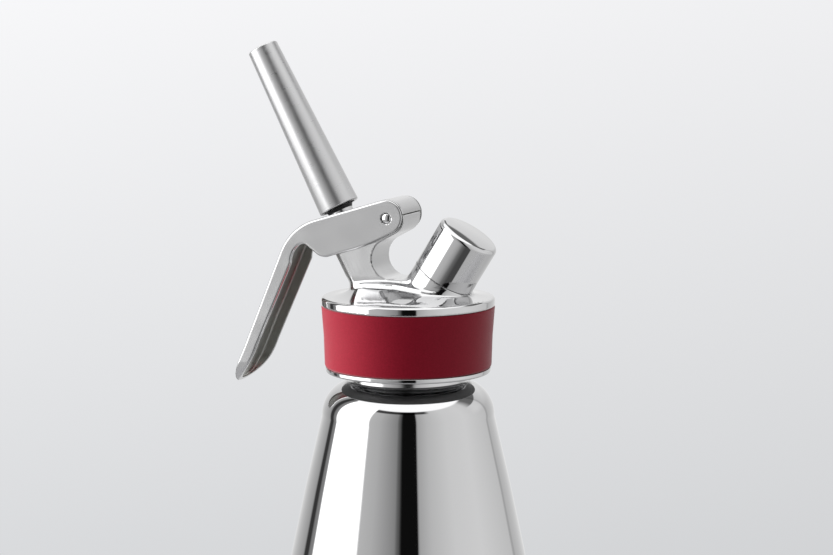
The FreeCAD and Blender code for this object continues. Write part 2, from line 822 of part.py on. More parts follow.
# The hollow needle stands on a flange that the socket clamps into the head.
gas_bore = 0.4
needle_point = 1.6
piercing_needle = turn_body("PiercingNeedle", [
    (gas_bore, -needle_low), (d.needle_base_radius, -needle_low), (d.needle_base_radius, -d.socket_root),
    (d.needle_radius, -d.socket_root), (d.needle_radius, d.needle_tip - needle_point),
    (gas_bore + 0.1, d.needle_tip), (gas_bore, d.needle_tip)])
stand_on_port_axis(piercing_needle)
add_node("piercing_needle", piercing_needle)

charger_seal = turn_body("ChargerSeal", [
    (d.charger_seal_inner_radius, socket_floor), (d.charger_seal_radius, socket_floor),
    (d.charger_seal_radius, socket_floor + d.charger_seal_thickness),
    (d.charger_seal_inner_radius, socket_floor + d.charger_seal_thickness)])
stand_on_port_axis(charger_seal)
add_node("charger_seal", charger_seal)

# The check valve is a rubber disc under the gas channel, held by a pierced plug.
recess_top = seat
disc_low = recess_top - d.check_disc_thickness
disc_relief = 0.5
check_valve = turn_body("CheckValve", [
    (0, disc_low),
    (d.check_disc_radius, disc_low),
    (d.check_disc_radius, recess_top - disc_relief),
    (d.gas_channel_radius * 1.6, recess_top - disc_relief),
    (d.gas_channel_radius * 1.3, recess_top),
    (0, recess_top)])
bind(check_valve, Placement__Base__x=channel_x)
add_node("check_valve", check_valve)

plug_bore = 0.8
check_retainer = turn_body("CheckRetainer", [
    (plug_bore, plug_foot), (d.check_recess_radius, plug_foot), (d.check_recess_radius, disc_low),
    (plug_bore, disc_low)])
bind(check_retainer, Placement__Base__x=channel_x)
add_node("check_valve_retainer", check_retainer)

# The O-ring seals the stem in its gland, under the washer that the spring pushes on.
washer_foot = -d.spring_bore_depth
washer_top = washer_foot + d.washer_thickness
o_ring_low = d.spring_gap - d.gland_depth
ring_inner = d.stem_radius + d.soft_clearance
section = d.o_ring_thickness / 2
stem_o_ring = turn_body("StemORing", [
    (ring_inner, o_ring_low + section, section),
    (ring_inner + section, o_ring_low, section),
    (ring_inner + section * 2, o_ring_low + section, section),
    (ring_inner + section, o_ring_low + section * 2, section)])
stand_on_valve_axis(stem_o_ring)
add_node("stem_o_ring", stem_o_ring)

washer_radius = d.spring_bore_radius - 0.1
spring_washer = turn_body("SpringWasher", [
    (ring_inner, washer_foot), (washer_radius, washer_foot),
    (washer_radius, washer_top), (ring_inner, washer_top)])
stand_on_valve_axis(spring_washer)
add_node("spring_washer", spring_washer)

# ---------------------------------------------------------------- lever
# The lever is a cast channel: a web and an arm of one thickness, two cheeks, and a tail shell that
# wraps over the bracket's eye down to the split. The tail's centre lies tail_rise above the pivot.
top = d.lever_top_slope
tail = d.tail_rise
arm_sine = sine(d.arm_angle)
arm_cosine = cosine(d.arm_angle)
half_turn = (as_size(90) - d.arm_angle - top) / 2
elbow_reach = tangent(half_turn) * d.elbow_radius
elbow = from_pivot(d.lever_reach, d.tail_radius, top, tail)


def on_arm(along, depth):
    """A corner set out from the elbow: along runs down the arm, depth towards the bottle."""
    return (elbow[0] - along * arm_sine + depth * arm_cosine,
            elbow[1] - along * arm_cosine - depth * arm_sine)


def off_pivot(x, drop):
    return (-x, d.rim_top + d.pivot_rise - drop)


web = d.lever_wall
lever_side = pad_body("LeverSide", "XZ_Plane", [
    from_pivot(as_size(0), d.tail_radius, top, tail) + (d.tail_radius,),
    from_pivot(d.lever_reach - elbow_reach, d.tail_radius, top, tail),
    on_arm(elbow_reach, 0) + (d.elbow_radius,),
    on_arm(d.arm_length, 0),
    on_arm(d.arm_length - d.arm_taper_length, d.arm_depth) + (d.arm_taper_curve,),
    on_arm(d.arm_notch_distance, d.arm_depth_top),
    off_pivot(d.notch_end_x + d.pivot_x, d.notch_end_drop) + (-d.notch_radius,),
    off_pivot(d.notch_turn_x + d.pivot_x, d.notch_turn_drop) + (-d.notch_turn_radius,),
    off_pivot(d.cheek_corner_x + d.pivot_x, d.cheek_corner_drop),
    off_pivot(d.cheek_foot_x + d.pivot_x, d.cheek_foot_drop) + (d.cheek_corner_radius,),
    off_pivot(d.cheek_edge_x + d.pivot_x, d.cheek_edge_drop),
    (pivot_x + d.tail_radius * sine(d.cheek_back_slope),
     pivot_z + tail - d.tail_radius * cosine(d.cheek_back_slope), d.cheek_edge_curve),
    ], d.lever_half_width * 2)
past = d.lever_half_width * 3
lever_hollow_side = pad_body("LeverHollowSide", "XZ_Plane", [
    from_pivot(as_size(0), d.tail_radius - web, top, tail) + (d.tail_radius - web,),
    from_pivot(d.lever_reach - elbow_reach, d.tail_radius - web, top, tail),
    on_arm(elbow_reach, web) + (d.elbow_radius - web,),
    on_arm(d.arm_length, d.arm_tip_wall),
    on_arm(d.arm_length + past, d.arm_tip_wall),
    on_arm(d.arm_length + past, past),
    (pivot_x + past, pivot_z - past),
    (pivot_x + past, pivot_z + (d.split_rise - d.pivot_rise)),
    on_arc(d.tail_radius - web, d.split_rise - d.pivot_rise, tail)], (d.lever_half_width - web) * 2)
lever_head = pivot_z + past
tip_z = elbow[1] - d.arm_length * arm_cosine


def tip_plan(name, inset):
    """Seen from the front, the lever is a strip with a half-round end; inset moves its edge inwards."""
    half_width = d.lever_half_width - inset
    middle = tip_z + d.lever_half_width
    return pad_body(name, "YZ_Plane", [
        (half_width, lever_head), (-half_width, lever_head), (-half_width, middle),
        (0, middle - half_width, half_width), (half_width, middle, half_width)], d.arm_length * 4)


lever_block = common("LeverBlock", lever_side, tip_plan("LeverPlan", as_size(0)))
doc.recompute()


def outer_edges(shape, middle):
    """Numbers of the edges round both cheeks and the tip, where the outline meets the sides.

    Left out are the edges straight across, from cheek to cheek, and the seam where a cheek's plane
    runs into the round tip at the height middle.
    """
    numbers = []
    for number, edge in enumerate(shape.Edges, start=1):
        first, last = edge.Vertexes[0].Point, edge.Vertexes[-1].Point
        centre = edge.valueAt((edge.FirstParameter + edge.LastParameter) / 2)
        across = abs(first.x - last.x) < 1e-4 and abs(first.z - last.z) < 1e-4
        seam = abs(first.z - middle) < 1e-3 and abs(last.z - middle) < 1e-3 and abs(centre.z - middle) < 1e-3
        if not across and not seam:
            numbers.append(number)
    return numbers


edge_round = d.lever_edge_round.value
lever_blank = doc.addObject("Part::Fillet", "LeverBlank")
lever_blank.Base = lever_block
lever_blank.Edges = [(number, edge_round, edge_round) for number in outer_edges(
    lever_block.Shape, (tip_z + d.lever_half_width).value)]
lever_hollow = common("LeverHollow", lever_hollow_side, tip_plan("LeverHollowPlan", web))

# Round the web's hole: it clears the tip seal, and is longer towards the pivot, where the valve
# shifts as the lever is pressed.
hole_prism = pad_body("WebHole", "XY_Plane", [
    (d.web_hole_stretch, -d.web_hole_radius), (d.web_hole_stretch + d.web_hole_radius, 0, d.web_hole_radius),
    (d.web_hole_stretch, d.web_hole_radius, d.web_hole_radius), (0, d.web_hole_radius),
    (-d.web_hole_radius, 0, d.web_hole_radius), (0, -d.web_hole_radius, d.web_hole_radius)],
    d.cam_depth * 2)
hole_foot = -d.cam_depth * 0.8
stand_on_valve_axis(hole_prism, hole_foot)


def cross_hole(name, radius, low, high):
    """A rod along Y through the pivot, between two distances from the middle plane."""
    rod = cylinder(name, radius, high - low)
    lay_across(rod)
    bind(rod, Placement__Base__x=pivot_x, Placement__Base__y=high, Placement__Base__z=pivot_z)
    return rod


sink = d.lever_half_width - d.countersink_depth
wide = d.lever_half_width * 2
lever_pin_hole = cross_hole("LeverPinHole", d.pin_radius + d.pin_clearance, -wide, wide)
near_ring = cross_hole("PinRingNear", d.countersink_radius, -wide, -sink)
far_ring = cross_hole("PinRingFar", d.countersink_radius, sink, wide)
lever_cuts = fuse("LeverCuts", lever_hollow, hole_prism, lever_pin_hole, near_ring, far_ring)
lever_shell = cut("LeverShell", lever_blank, lever_cuts)

# Two round cams inside the cheeks push the valve's flange down. Each is sunk in its cheek by cam_root.
cam_root = 0.1
cam_foot = d.lever_half_width - web + cam_root
cam_place = on_axis(-d.cam_depth, as_size(0))
cams = []
for name, outer_end in (("CamNear", d.cam_reach - cam_foot), ("CamFar", cam_foot)):
    cam = cylinder(name, d.cam_radius, d.cam_reach)
    lay_across(cam)
    bind(cam, Placement__Base__x=cam_place[0], Placement__Base__y=outer_end,
         Placement__Base__z=cam_place[1])
    cams.append(cam)
add_node("lever", fuse("Lever", lever_shell, *cams))

# ---------------------------------------------------------------- valve
# The stem is a tube that is closed at its foot. Cross ports let the cream in above the seal.
seal_top = -d.valve_seat_depth - d.soft_clearance
seal_low = seal_top - d.seal_thickness
stem_low = seal_low - d.stem_foot_thickness
foot_edge = 0.5
bore_point = 1
stem_tube = turn_body("StemTube", [
    (0, stem_low),
    (d.stem_foot_radius - foot_edge, stem_low),
    (d.stem_foot_radius, stem_low + foot_edge),
    (d.stem_foot_radius, seal_low),
    (d.stem_radius, seal_low),
    (d.stem_radius, d.stem_top),
    (d.stem_bore_radius, d.stem_top),
    (d.stem_bore_radius, seal_top),
    (0, seal_top - bore_point)])
port_height = (seal_top - d.port_chamber_depth) / 2
port_rods = []
for index, turn in enumerate((0, 90)):
    rod = cylinder("StemPort%d" % index, d.stem_port_radius, d.stem_radius * 4)
    rod.Placement = FreeCAD.Placement(FreeCAD.Vector(0, 0, 0), FreeCAD.Rotation(turn, 0, 90))
    reach = d.stem_radius * 2
    bind(rod, Placement__Base__z=port_height)
    if turn:
        bind(rod, Placement__Base__x=-reach)
    else:
        bind(rod, Placement__Base__y=reach)
    port_rods.append(rod)
valve_stem = cut("ValveStem", stem_tube, fuse("StemPorts", *port_rods))
stand_on_valve_axis(valve_stem)
add_node("valve_stem", valve_stem)

seal_edge = 0.5
valve_seal = turn_body("ValveSeal", [
    (d.stem_radius, seal_low), (d.seal_radius, seal_low), (d.seal_radius, seal_top - seal_edge),
    (d.seal_radius - seal_edge, seal_top), (d.stem_radius, seal_top)])
stand_on_valve_axis(valve_seal)
add_node("valve_seal", valve_seal)

# The tip adapter is screwed on the stem: a flange under the lever's cams, a neck and a thread for
# the nozzle.
flange_high = -d.cam_depth - d.cam_radius - d.adapter_flange_gap
flange_low = flange_high - d.adapter_flange_thickness
seal_seat = -d.soft_clearance - d.tip_seal_thickness
flange_chamfer = 0.4
thread_start = 0.4
thread_rise = 0.8
thread_crest = d.adapter_thread_radius - d.thread_clearance
thread_end = 0.6
tip_adapter = turn_body("TipAdapter", [
    (d.stem_radius, flange_low),
    (d.adapter_flange_radius - flange_chamfer, flange_low),
    (d.adapter_flange_radius, flange_low + flange_chamfer),
    (d.adapter_flange_radius, flange_high - flange_chamfer),
    (d.adapter_flange_radius - flange_chamfer, flange_high),
    (d.adapter_neck_radius, flange_high),
    (d.adapter_neck_radius, thread_start),
    (thread_crest, thread_rise),
    (thread_crest, d.adapter_top - thread_end),
    (thread_crest - thread_end, d.adapter_top),
    (d.adapter_bore_radius, d.adapter_top),
    (d.adapter_bore_radius, d.stem_top),
    (d.stem_radius, d.stem_top)])
stand_on_valve_axis(tip_adapter)
add_node("tip_adapter", tip_adapter)

tip_seal = turn_body("TipSeal", [
    (d.adapter_neck_radius, seal_seat), (d.tip_seal_foot_radius, seal_seat),
    (d.tip_seal_radius, -d.soft_clearance), (d.adapter_neck_radius, -d.soft_clearance)])
stand_on_valve_axis(tip_seal)
add_node("tip_seal", tip_seal)

# The return spring stands on the washer and lifts the adapter's flange.
half_wire = d.spring_wire / 2
spring_low = washer_top + d.spring_gap + half_wire
spring_height = flange_low - d.spring_gap - half_wire - spring_low
coil = doc.addObject("Part::Helix", "SpringCoil")
bind(coil, Radius=d.spring_radius, Height=spring_height, Pitch=spring_height / d.spring_turns)
wire = doc.addObject("Part::Circle", "SpringWire")
lay_across(wire)
bind(wire, Radius=half_wire, Placement__Base__x=d.spring_radius)
valve_spring = doc.addObject("Part::Sweep", "ValveSpring")
valve_spring.Sections = [wire]
valve_spring.Spine = (coil, ["Edge1"])
valve_spring.Solid = True
valve_spring.Frenet = True
stand_on_valve_axis(valve_spring, spring_low)
add_node("valve_spring", valve_spring)

# ---------------------------------------------------------------- nozzle
nozzle_round = d.nozzle_round
nozzle = turn_body("Nozzle", [
    (d.nozzle_socket_radius, 0), (d.nozzle_base_radius - nozzle_round, 0),
    (d.nozzle_base_radius, nozzle_round, nozzle_round),
    (d.nozzle_tip_radius, d.nozzle_length - nozzle_round),
    (d.nozzle_tip_radius - nozzle_round, d.nozzle_length, nozzle_round),
    (d.nozzle_bore_radius, d.nozzle_length), (d.nozzle_bore_radius, d.nozzle_socket_depth),
    (d.nozzle_socket_radius, d.nozzle_socket_depth)])
stand_on_valve_axis(nozzle)
add_node("nozzle", nozzle)

# ---------------------------------------------------------------- cap over the charger port
cap_round = d.cap_round
cap_bore = d.socket_radius + d.thread_clearance
cap_inner_top = d.cap_length - d.cap_wall
cap_edge = 0.2
charger_cap = turn_body("ChargerCap", [
    (cap_bore, d.seam_gap),
    (d.port_radius - cap_edge, d.seam_gap),
    (d.port_radius, d.seam_gap + cap_edge),
    (d.port_radius, d.cap_length - cap_round),
    (d.port_radius - cap_round, d.cap_length, cap_round),
    (0, d.cap_length),
    (0, cap_inner_top),
    (cap_bore, cap_inner_top)])
stand_on_port_axis(charger_cap)
add_node("charger_cap", charger_cap)

# ---------------------------------------------------------------- check and write
doc.recompute()
for thing in doc.Objects:
    if "Invalid" in thing.State or "Error" in thing.State:
        raise RuntimeError("%s is %s" % (thing.Name, thing.State))
os.makedirs("parts", exist_ok=True)
for name, thing in nodes.items():
    if thing.Shape.isNull() or not thing.Shape.isValid() or not thing.Shape.Solids:
        raise RuntimeError("%s has no valid solid" % name)
for name, thing in nodes.items():
    thing.Shape.exportStep(os.path.join("parts", name + ".step"))
    print("%-22s %9.1f mm3 %d solid" % (name, thing.Shape.Volume, len(thing.Shape.Solids)))
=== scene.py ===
"""Whipped cream dispenser: the finish of every piece, the threads and the rounded castings."""
import math
import bpy
import numpy as np
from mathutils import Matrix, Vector


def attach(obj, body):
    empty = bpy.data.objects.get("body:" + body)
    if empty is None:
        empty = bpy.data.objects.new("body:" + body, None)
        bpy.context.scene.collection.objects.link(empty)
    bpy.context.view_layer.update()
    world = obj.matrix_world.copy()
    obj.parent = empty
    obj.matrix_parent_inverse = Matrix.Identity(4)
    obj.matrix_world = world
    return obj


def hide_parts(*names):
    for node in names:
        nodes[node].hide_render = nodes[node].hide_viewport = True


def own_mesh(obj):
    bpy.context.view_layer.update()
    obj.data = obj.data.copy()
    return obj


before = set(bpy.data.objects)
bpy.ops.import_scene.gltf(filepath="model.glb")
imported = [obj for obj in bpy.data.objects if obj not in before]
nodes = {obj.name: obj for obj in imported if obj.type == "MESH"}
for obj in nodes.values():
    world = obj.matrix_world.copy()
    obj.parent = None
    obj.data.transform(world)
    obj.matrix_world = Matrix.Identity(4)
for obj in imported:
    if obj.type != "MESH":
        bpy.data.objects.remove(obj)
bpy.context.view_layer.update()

MM = 0.001
scene = bpy.context.scene
scene.view_settings.view_transform = "Standard"

# ------------------------ camera
# A long lens looks slightly down at the head, from the front and a little towards the charger port.
camera_turn = math.radians(23.0)
camera_dip = math.radians(7.6)
camera_distance = 948.4 * MM
camera_side_step = 3.24 * MM
aim_height = 232.2 * MM
to_right = Vector((math.cos(camera_turn), math.sin(camera_turn), 0))
level_look = Vector((-math.sin(camera_turn), math.cos(camera_turn), 0))
look = level_look * math.cos(camera_dip) - Vector((0, 0, math.sin(camera_dip)))
camera = bpy.data.objects.new("camera", bpy.data.cameras.new("camera"))
camera.data.lens = 105.02
camera.data.sensor_width = 36.0
camera.data.clip_start = 0.05
camera.location = Vector((0, 0, aim_height)) + to_right * camera_side_step - look * camera_distance
camera.rotation_mode = "QUATERNION"
camera.rotation_quaternion = look.to_track_quat("-Z", "Y")
scene.collection.objects.link(camera)
scene.camera = camera

# ------------------------ studio
# Two tall panels and a soft box stand round the bottle, with a dark gap on the camera's side, a pale wall,
# and a white ceiling over a dark ledge. They are painted on the world, by bearing from the camera's side.


def wire(tree, kind, inputs=(), out=0, **settings):
    """Adds a node of a kind and gives one of its outputs. Inputs go by number or name: a socket is linked,
    and a value is set. A setting is a property of the node."""
    node = tree.nodes.new("ShaderNode" + kind)
    for key, value in settings.items():
        setattr(node, key, value)
    for key, value in dict(inputs).items():
        if isinstance(value, bpy.types.NodeSocket):
            tree.links.new(value, node.inputs[key])
        else:
            node.inputs[key].default_value = value
    return node.outputs[out] if len(node.outputs) else None


def math_node(tree, operation, *values):
    """One sum over levels or sockets."""
    return wire(tree, "Math", enumerate(values), operation=operation)


def mix(tree, share, first, second):
    """Goes from the first level to the second as the share goes from 0 to 1."""
    return wire(tree, "Mix", {0: share, 2: first, 3: second})


def mix_colours(tree, share, first, second):
    """Goes from the first colour to the second as the share goes from 0 to 1."""
    return wire(tree, "Mix", {0: share, 6: first, 7: second}, 2, data_type="RGBA")


def ramp(tree, factor, stops):
    """A colour ramp over grey levels or colours; stops are (place, level)."""
    graded = wire(tree, "ValToRGB", {0: factor})
    elements = graded.node.color_ramp.elements
    while len(elements) < len(stops):
        elements.new(0.5)
    for element, (place, level) in zip(elements, stops):
        element.position = place
        element.color = (*level, 1) if hasattr(level, "__len__") else (level, level, level, 1)
    return graded


scene.world = bpy.data.worlds.new("studio")
scene.world.use_nodes = True
sky = scene.world.node_tree
sky.nodes.clear()
bearing_levels = [
    (-180, 0.90), (-160, 0.78), (-127, 0.45), (-124, 0.05), (-118, 0.05), (-115, 0.30), (-110, 0.30),
    (-109, 2.4), (-54, 2.4), (-53, 0.68), (-38, 0.60), (-26, 0.46), (-18, 0.37), (-14, 0.32), (-12, 0.17),
    (-9, 0.10), (-8, 0.006), (10.5, 0.006), (11.5, 0.51), (25, 0.69), (50, 0.85), (80, 0.90), (110, 0.79),
    (126, 0.73), (127, 0.50), (130, 0.50), (132, 0.62), (180, 0.90)]
low_levels = [
    (-110, 0.50), (-53, 0.60), (-30, 0.45), (-20, 0.20), (-8, 0.08), (11, 0.08), (12, 0.58), (60, 0.66),
    (126, 0.60), (180, 0.75)]
ceiling_white = (1.5, 1.5, 1.5, 1)
backdrop_low, backdrop_high, left_lift = (0.66, 0.67, 0.685), (0.92, 0.92, 0.935), 0.22
direction = wire(sky, "TexCoord", out="Generated")


def along(axis):
    """How far the direction of the light reaches along an axis."""
    return wire(sky, "VectorMath", {0: direction, 1: axis}, "Value", operation="DOT_PRODUCT")


bearing = math_node(sky, "ARCTAN2", along(to_right), along(-level_look))
turn_share = math_node(sky, "MULTIPLY_ADD", bearing, 0.5 / math.pi, 0.5)
height = math_node(sky, "ARCSINE", along(Vector((0, 0, 1))))
height_share = math_node(sky, "MULTIPLY_ADD", height, 1 / math.pi, 0.5)


def round_the_bottle(stops):
    """Levels by bearing in degrees."""
    return ramp(sky, turn_share, [(degrees / 360 + 0.5, level) for degrees, level in stops])


def by_height(stops):
    """Levels or colours by the height over the horizon in degrees."""
    return ramp(sky, height_share, [(0.5 + degrees / 180, level) for degrees, level in stops])


ceiling_share = by_height([(47, 0.0), (50, 1.0)])
ledge = by_height([(39, 1.0), (41, 0.12), (60, 0.12)])
ledge_span = round_the_bottle([(-54, 0.0), (-52, 1.0), (26, 1.0), (34, 0.0)])
shade = mix(sky, ledge_span, 1.0, ledge)
glow = by_height([(9, 1.0), (18, 1.15), (30, 1.15), (31, 0.24)])
glow_span = round_the_bottle([(96, 0.0), (112, 1.0)])
lift = mix(sky, glow_span, 1.0, glow)
below = by_height([(-22, 1.0), (-12, 0.0)])
wall_light = mix_colours(sky, below, round_the_bottle(bearing_levels), round_the_bottle(low_levels))
wall_share = math_node(sky, "MULTIPLY", shade, lift)
wall_light = wire(sky, "VectorMath", {0: wall_light, "Scale": wall_share}, operation="SCALE")
surround = mix_colours(sky, ceiling_share, wall_light, ceiling_white)
studio_light = wire(sky, "Background", {0: surround, 1: 1.0})
left_side = math_node(sky, "MULTIPLY_ADD", along(to_right), -left_lift, 1.0)
backdrop_colour = by_height([(-14.4, backdrop_low), (0, backdrop_high)])
backdrop_light = wire(sky, "Background", {0: backdrop_colour, 1: left_side})
seen = wire(sky, "LightPath", out="Is Camera Ray")
wire(sky, "OutputWorld", {0: wire(sky, "MixShader", {0: seen, 1: studio_light, 2: backdrop_light})})

# A wide level light on the left gives matt pieces their form. Polished steel doesn't mirror it.
side_energy, side_spread, side_slant = 7.5, math.radians(40), 0.17
side_lamp = bpy.data.lights.new("side_light", "SUN")
side_lamp.energy, side_lamp.angle = side_energy, side_spread
side_light = bpy.data.objects.new("side_light", side_lamp)
scene.collection.objects.link(side_light)
side_light.rotation_mode = "QUATERNION"
side_light.rotation_quaternion = (to_right - side_slant * level_look).to_track_quat("-Z", "Y")
side_light.visible_glossy = False


def mesh_piece(name, points, faces, sharp_angle=None):
    """A smooth piece from points in metres; edges that bend more than the sharp angle stay crisp."""
    mesh = bpy.data.meshes.new(name)
    mesh.from_pydata(points, [], faces)
    mesh.shade_smooth()
    if sharp_angle:
        mesh.set_sharp_from_angle(angle=sharp_angle)
    piece = bpy.data.objects.new(name, mesh)
    scene.collection.objects.link(piece)
    return piece


def material(name):
    """A new material and its empty node tree."""
    made = bpy.data.materials.new(name)
    made.use_nodes = True
    made.node_tree.nodes.clear()
    return made, made.node_tree


def own_place(tree):
    """Where a spot lies in its piece's own coordinates."""
    return wire(tree, "TexCoord", out="Object")


def between(tree, value, low, high, start, end):
    """Carries a value from low..high onto start..end and no further."""
    return wire(tree, "MapRange", {0: value, 1: low, 2: high, 3: start, 4: end})


# The floor is a pale round table that fades into the backdrop at its edge.
table_radius, fade_from, fade_to, table_sides = 0.32, 0.22, 0.29, 96
turn = np.linspace(0, 2 * np.pi, table_sides, endpoint=False)
table = mesh_piece("table", table_radius * np.stack([np.cos(turn), np.sin(turn), 0 * turn], -1),
                   [list(range(table_sides))])
table_paint, tree = material("table_paint")
from_centre = wire(tree, "VectorMath", {0: own_place(tree)}, "Value", operation="LENGTH")
fade = between(tree, from_centre, fade_from, fade_to, 0, 1)
paint = wire(tree, "BsdfDiffuse", {0: (0.44, 0.44, 0.45, 1)})
clear = wire(tree, "BsdfTransparent")
wire(tree, "OutputMaterial", {0: wire(tree, "MixShader", {0: fade, 1: paint, 2: clear})})
table.data.materials.append(table_paint)

# ------------------------ outer shell of the bottle
# The outer shell is spun from stainless sheet and polished to a mirror: a bell with a rounded heel, a long
# flank and a shoulder that turns in to the relief below the neck, where it is welded to the neck ring.
rim_top = 225.0
wall = 0.8
relief_radius, relief_drop, relief_fillet = 22.3, 32.2, 1.6
toe_radius, toe_drop = 23.9, 33.8
shoulder_radius, shoulder_drop, shoulder_arc = 33.9, 47.0, 13.5
flank_radius, flank_drop, upper_flank_arc = 45.95, 101.2, 1600
belly_radius, belly_height = 52.0, 64.0
heel_radius, heel_round, foot_radius = 51.0, 7.0, 43.6
flank_run = rim_top - flank_drop - belly_height
flank_rise = belly_radius - flank_radius
belly_arc = (flank_run ** 2 + flank_rise ** 2) / (2 * flank_rise)
steel_colour = (0.66, 0.66, 0.665)


def run_of(path):
    """The runs of a closed outline: start, end, and for an arc its centre, radius, first angle, sweep and
    side. A step is (x, y), or (x, y, radius), where a positive radius turns left along the way."""
    runs = []
    for index, step in enumerate(path):
        start, end = np.array(path[index - 1][:2], float), np.array(step[:2], float)
        if len(step) == 2:
            runs.append((start, end, None))
            continue
        chord = end - start
        half = np.hypot(*chord) / 2
        across = np.array((-chord[1], chord[0])) / (2 * half)
        centre = (start + end) / 2 + across * math.sqrt(step[2] ** 2 - half ** 2) * np.sign(step[2])
        first = math.atan2(*(start - centre)[::-1])
        sweep = (math.atan2(*(end - centre)[::-1]) - first) * np.sign(step[2]) % (2 * math.pi)
        runs.append((start, end, (centre, abs(step[2]), first, sweep, np.sign(step[2]))))
    return runs


def profile_of(path):
    """Samples a closed outline: the points, and the outward normals at both ends of each stretch.
    Along an arc the point is centre + radius * (cos, sin) and the normal is radial; stretches that meet
    at less than 25 degrees share one normal."""
    points, before, after = [], [], []
    for start, end, arc in run_of(path):
        if np.hypot(*(end - start)) < 1e-6:
            continue
        if arc is None:
            along = (end - start) / np.hypot(*(end - start))
            points.append(end)
            before.append((along[1], -along[0]))
            after.append((along[1], -along[0]))
            continue
        centre, radius, first, sweep, side = arc
        count = int(max(2, min(40, math.ceil(math.degrees(sweep) / (3 if radius > 1 else 9)))))
        angle = first + side * sweep * np.linspace(0, 1, count + 1)
        radial = np.stack([np.cos(angle), np.sin(angle)], -1)
        points.extend(centre + radius * radial[1:])
        before.extend(radial[:-1] * side)
        after.extend(radial[1:] * side)
    points, before, after = np.array(points), np.array(before), np.array(after)
    following = np.roll(before, -1, 0)
    meeting = (after * following).sum(1) > math.cos(math.radians(25))
    shared = after + following
    shared /= np.maximum(np.hypot(*shared.T), 1e-9)[:, None]
    after = np.where(meeting[:, None], shared, after)
    before = np.roll(np.where(meeting[:, None], shared, following), 1, 0)
    return points, before, after


def stand(points, place):
    """Leans points about Y by the place's angle towards +X, or lays their axis along -Y where the angle is
    None, and moves them to the place's (x, z)."""
    x, z, lean = place
    if lean is None:
        return np.stack([x + points[..., 0], -points[..., 2], z + points[..., 1]], -1)
    c, s = math.cos(lean), math.sin(lean)
    return np.stack([x + points[..., 0] * c + points[..., 2] * s, points[..., 1],
                     z - points[..., 0] * s + points[..., 2] * c], -1)


def lathe(name, path, place=(0, 0, 0), turns=192, thread=None):
    """A turned piece: the outline (r, z) carried round the axis, P = (r cos t, r sin t, z). A thread is
    (root, pitch, depth, side): on the outline's stretch at that root, r = root + side * depth *
    ridge(z / pitch - t), with a trapezium for the ridge that fades out over one pitch at each end."""
    points, before, after = profile_of(path)
    if thread:
        root, pitch, depth, side = thread
        at_root = abs(points[:, 0] - root) < 1e-6
        index = np.nonzero(at_root & np.roll(at_root, 1))[0][0]
        low, high = sorted(points[[index - 1, index], 1])
        count = int((high - low) / pitch * 14)
        heights = np.linspace(*points[[index - 1, index], 1], count + 1)[1:-1]
        rows = np.stack([np.full(count - 1, root), heights], -1)
        normal = np.tile(before[index], (count, 1))
        points = np.concatenate([points[:index], rows, points[index:]])
        before = np.concatenate([before[:index], normal, before[index + 1:]])
        after = np.concatenate([after[:index], normal, after[index + 1:]])
    poles = np.nonzero(points[:, 0] < 1e-6)[0]
    if len(poles):
        shift = -[i for i in poles if points[(i + 1) % len(points), 0] > 1e-6][0]
        points, before, after = (np.roll(array, shift, 0) for array in (points, before, after))
        points = points[:[i for i in range(len(points)) if points[i, 0] < 1e-6][1] + 1]
        before, after = before[1:len(points)], after[1:len(points)]
    else:
        before, after = np.roll(before, -1, 0), np.roll(after, -1, 0)
    angle = np.linspace(0, 2 * np.pi, turns, endpoint=False)
    r = points[:, 0, None] + 0 * angle
    if thread:
        phase = (points[:, 1, None] / pitch - angle / (2 * np.pi)) % 1
        ridge = np.clip((0.40 - abs(phase - 0.5)) / 0.22, 0, 1)
        fade = np.clip(np.minimum(points[:, 1] - low, high - points[:, 1]) / pitch, 0, 1)[:, None]
        r = np.where(abs(r - root) < 1e-6, r + side * depth * ridge * fade, r)
    ring = np.stack([r * np.cos(angle), r * np.sin(angle), points[:, 1, None] + 0 * angle], -1)
    first, last = (1, len(points) - 1) if len(poles) else (0, len(points))
    corners = ring[first:last].reshape(-1, 3)
    number = np.arange(len(corners)).reshape(last - first, turns)
    lower, upper = (number[:-1], number[1:]) if len(poles) else (number, np.roll(number, -1, 0))
    quads = np.stack([lower, np.roll(lower, -1, 1), np.roll(upper, -1, 1), upper], -1)
    around = np.stack([np.cos(angle), np.sin(angle)], -1)
    following = np.roll(around, -1, 0)

    def turned(flat, heading):
        return np.stack([flat[:, None, 0] * heading[:, 0], flat[:, None, 0] * heading[:, 1],
                         flat[:, None, 1] + 0 * heading[:, 0]], -1)

    inner = slice(1, -1) if len(poles) else slice(None)
    normals = np.stack([turned(before[inner], around), turned(before[inner], following),
                        turned(after[inner], following), turned(after[inner], around)], 2).reshape(-1, 3)
    faces = quads.reshape(-1, 4).tolist()
    if len(poles):
        ends = ((0, (before[0], after[0]), (0, 2, 1)), (-1, (after[-1], before[-1]), (0, 1, 2)))
        for rim, flat, order in ends:
            hub = len(corners)
            corners = np.concatenate([corners, [(0, 0, points[rim, 1])]])
            fan = np.stack([number[rim], np.roll(number[rim], -1), np.full(turns, hub)], -1)
            hub_normal = np.tile((0, 0, np.sign(flat[0][1]) or 1), (turns, 1))
            sides = [turned(flat[1][None], around)[0], turned(flat[1][None], following)[0], hub_normal]
            faces += fan[:, order].tolist()
            normals = np.concatenate([normals, np.stack([sides[i] for i in order], 1).reshape(-1, 3)])
    piece = mesh_piece(name, stand(corners, place) * MM, faces, math.radians(28) if thread else None)
    if not thread:
        piece.data.normals_split_custom_set(stand(normals, (0, 0, place[2])))
    return piece


def reversed_run(path):
    """The same run the other way round, so that two runs close into a wall."""
    run = [path[-1][:2]]
    for index in range(len(path) - 1, 0, -1):
        corner = path[index - 1][:2]
        run.append(corner + (-path[index][2],) if len(path[index]) == 3 else corner)
    return run


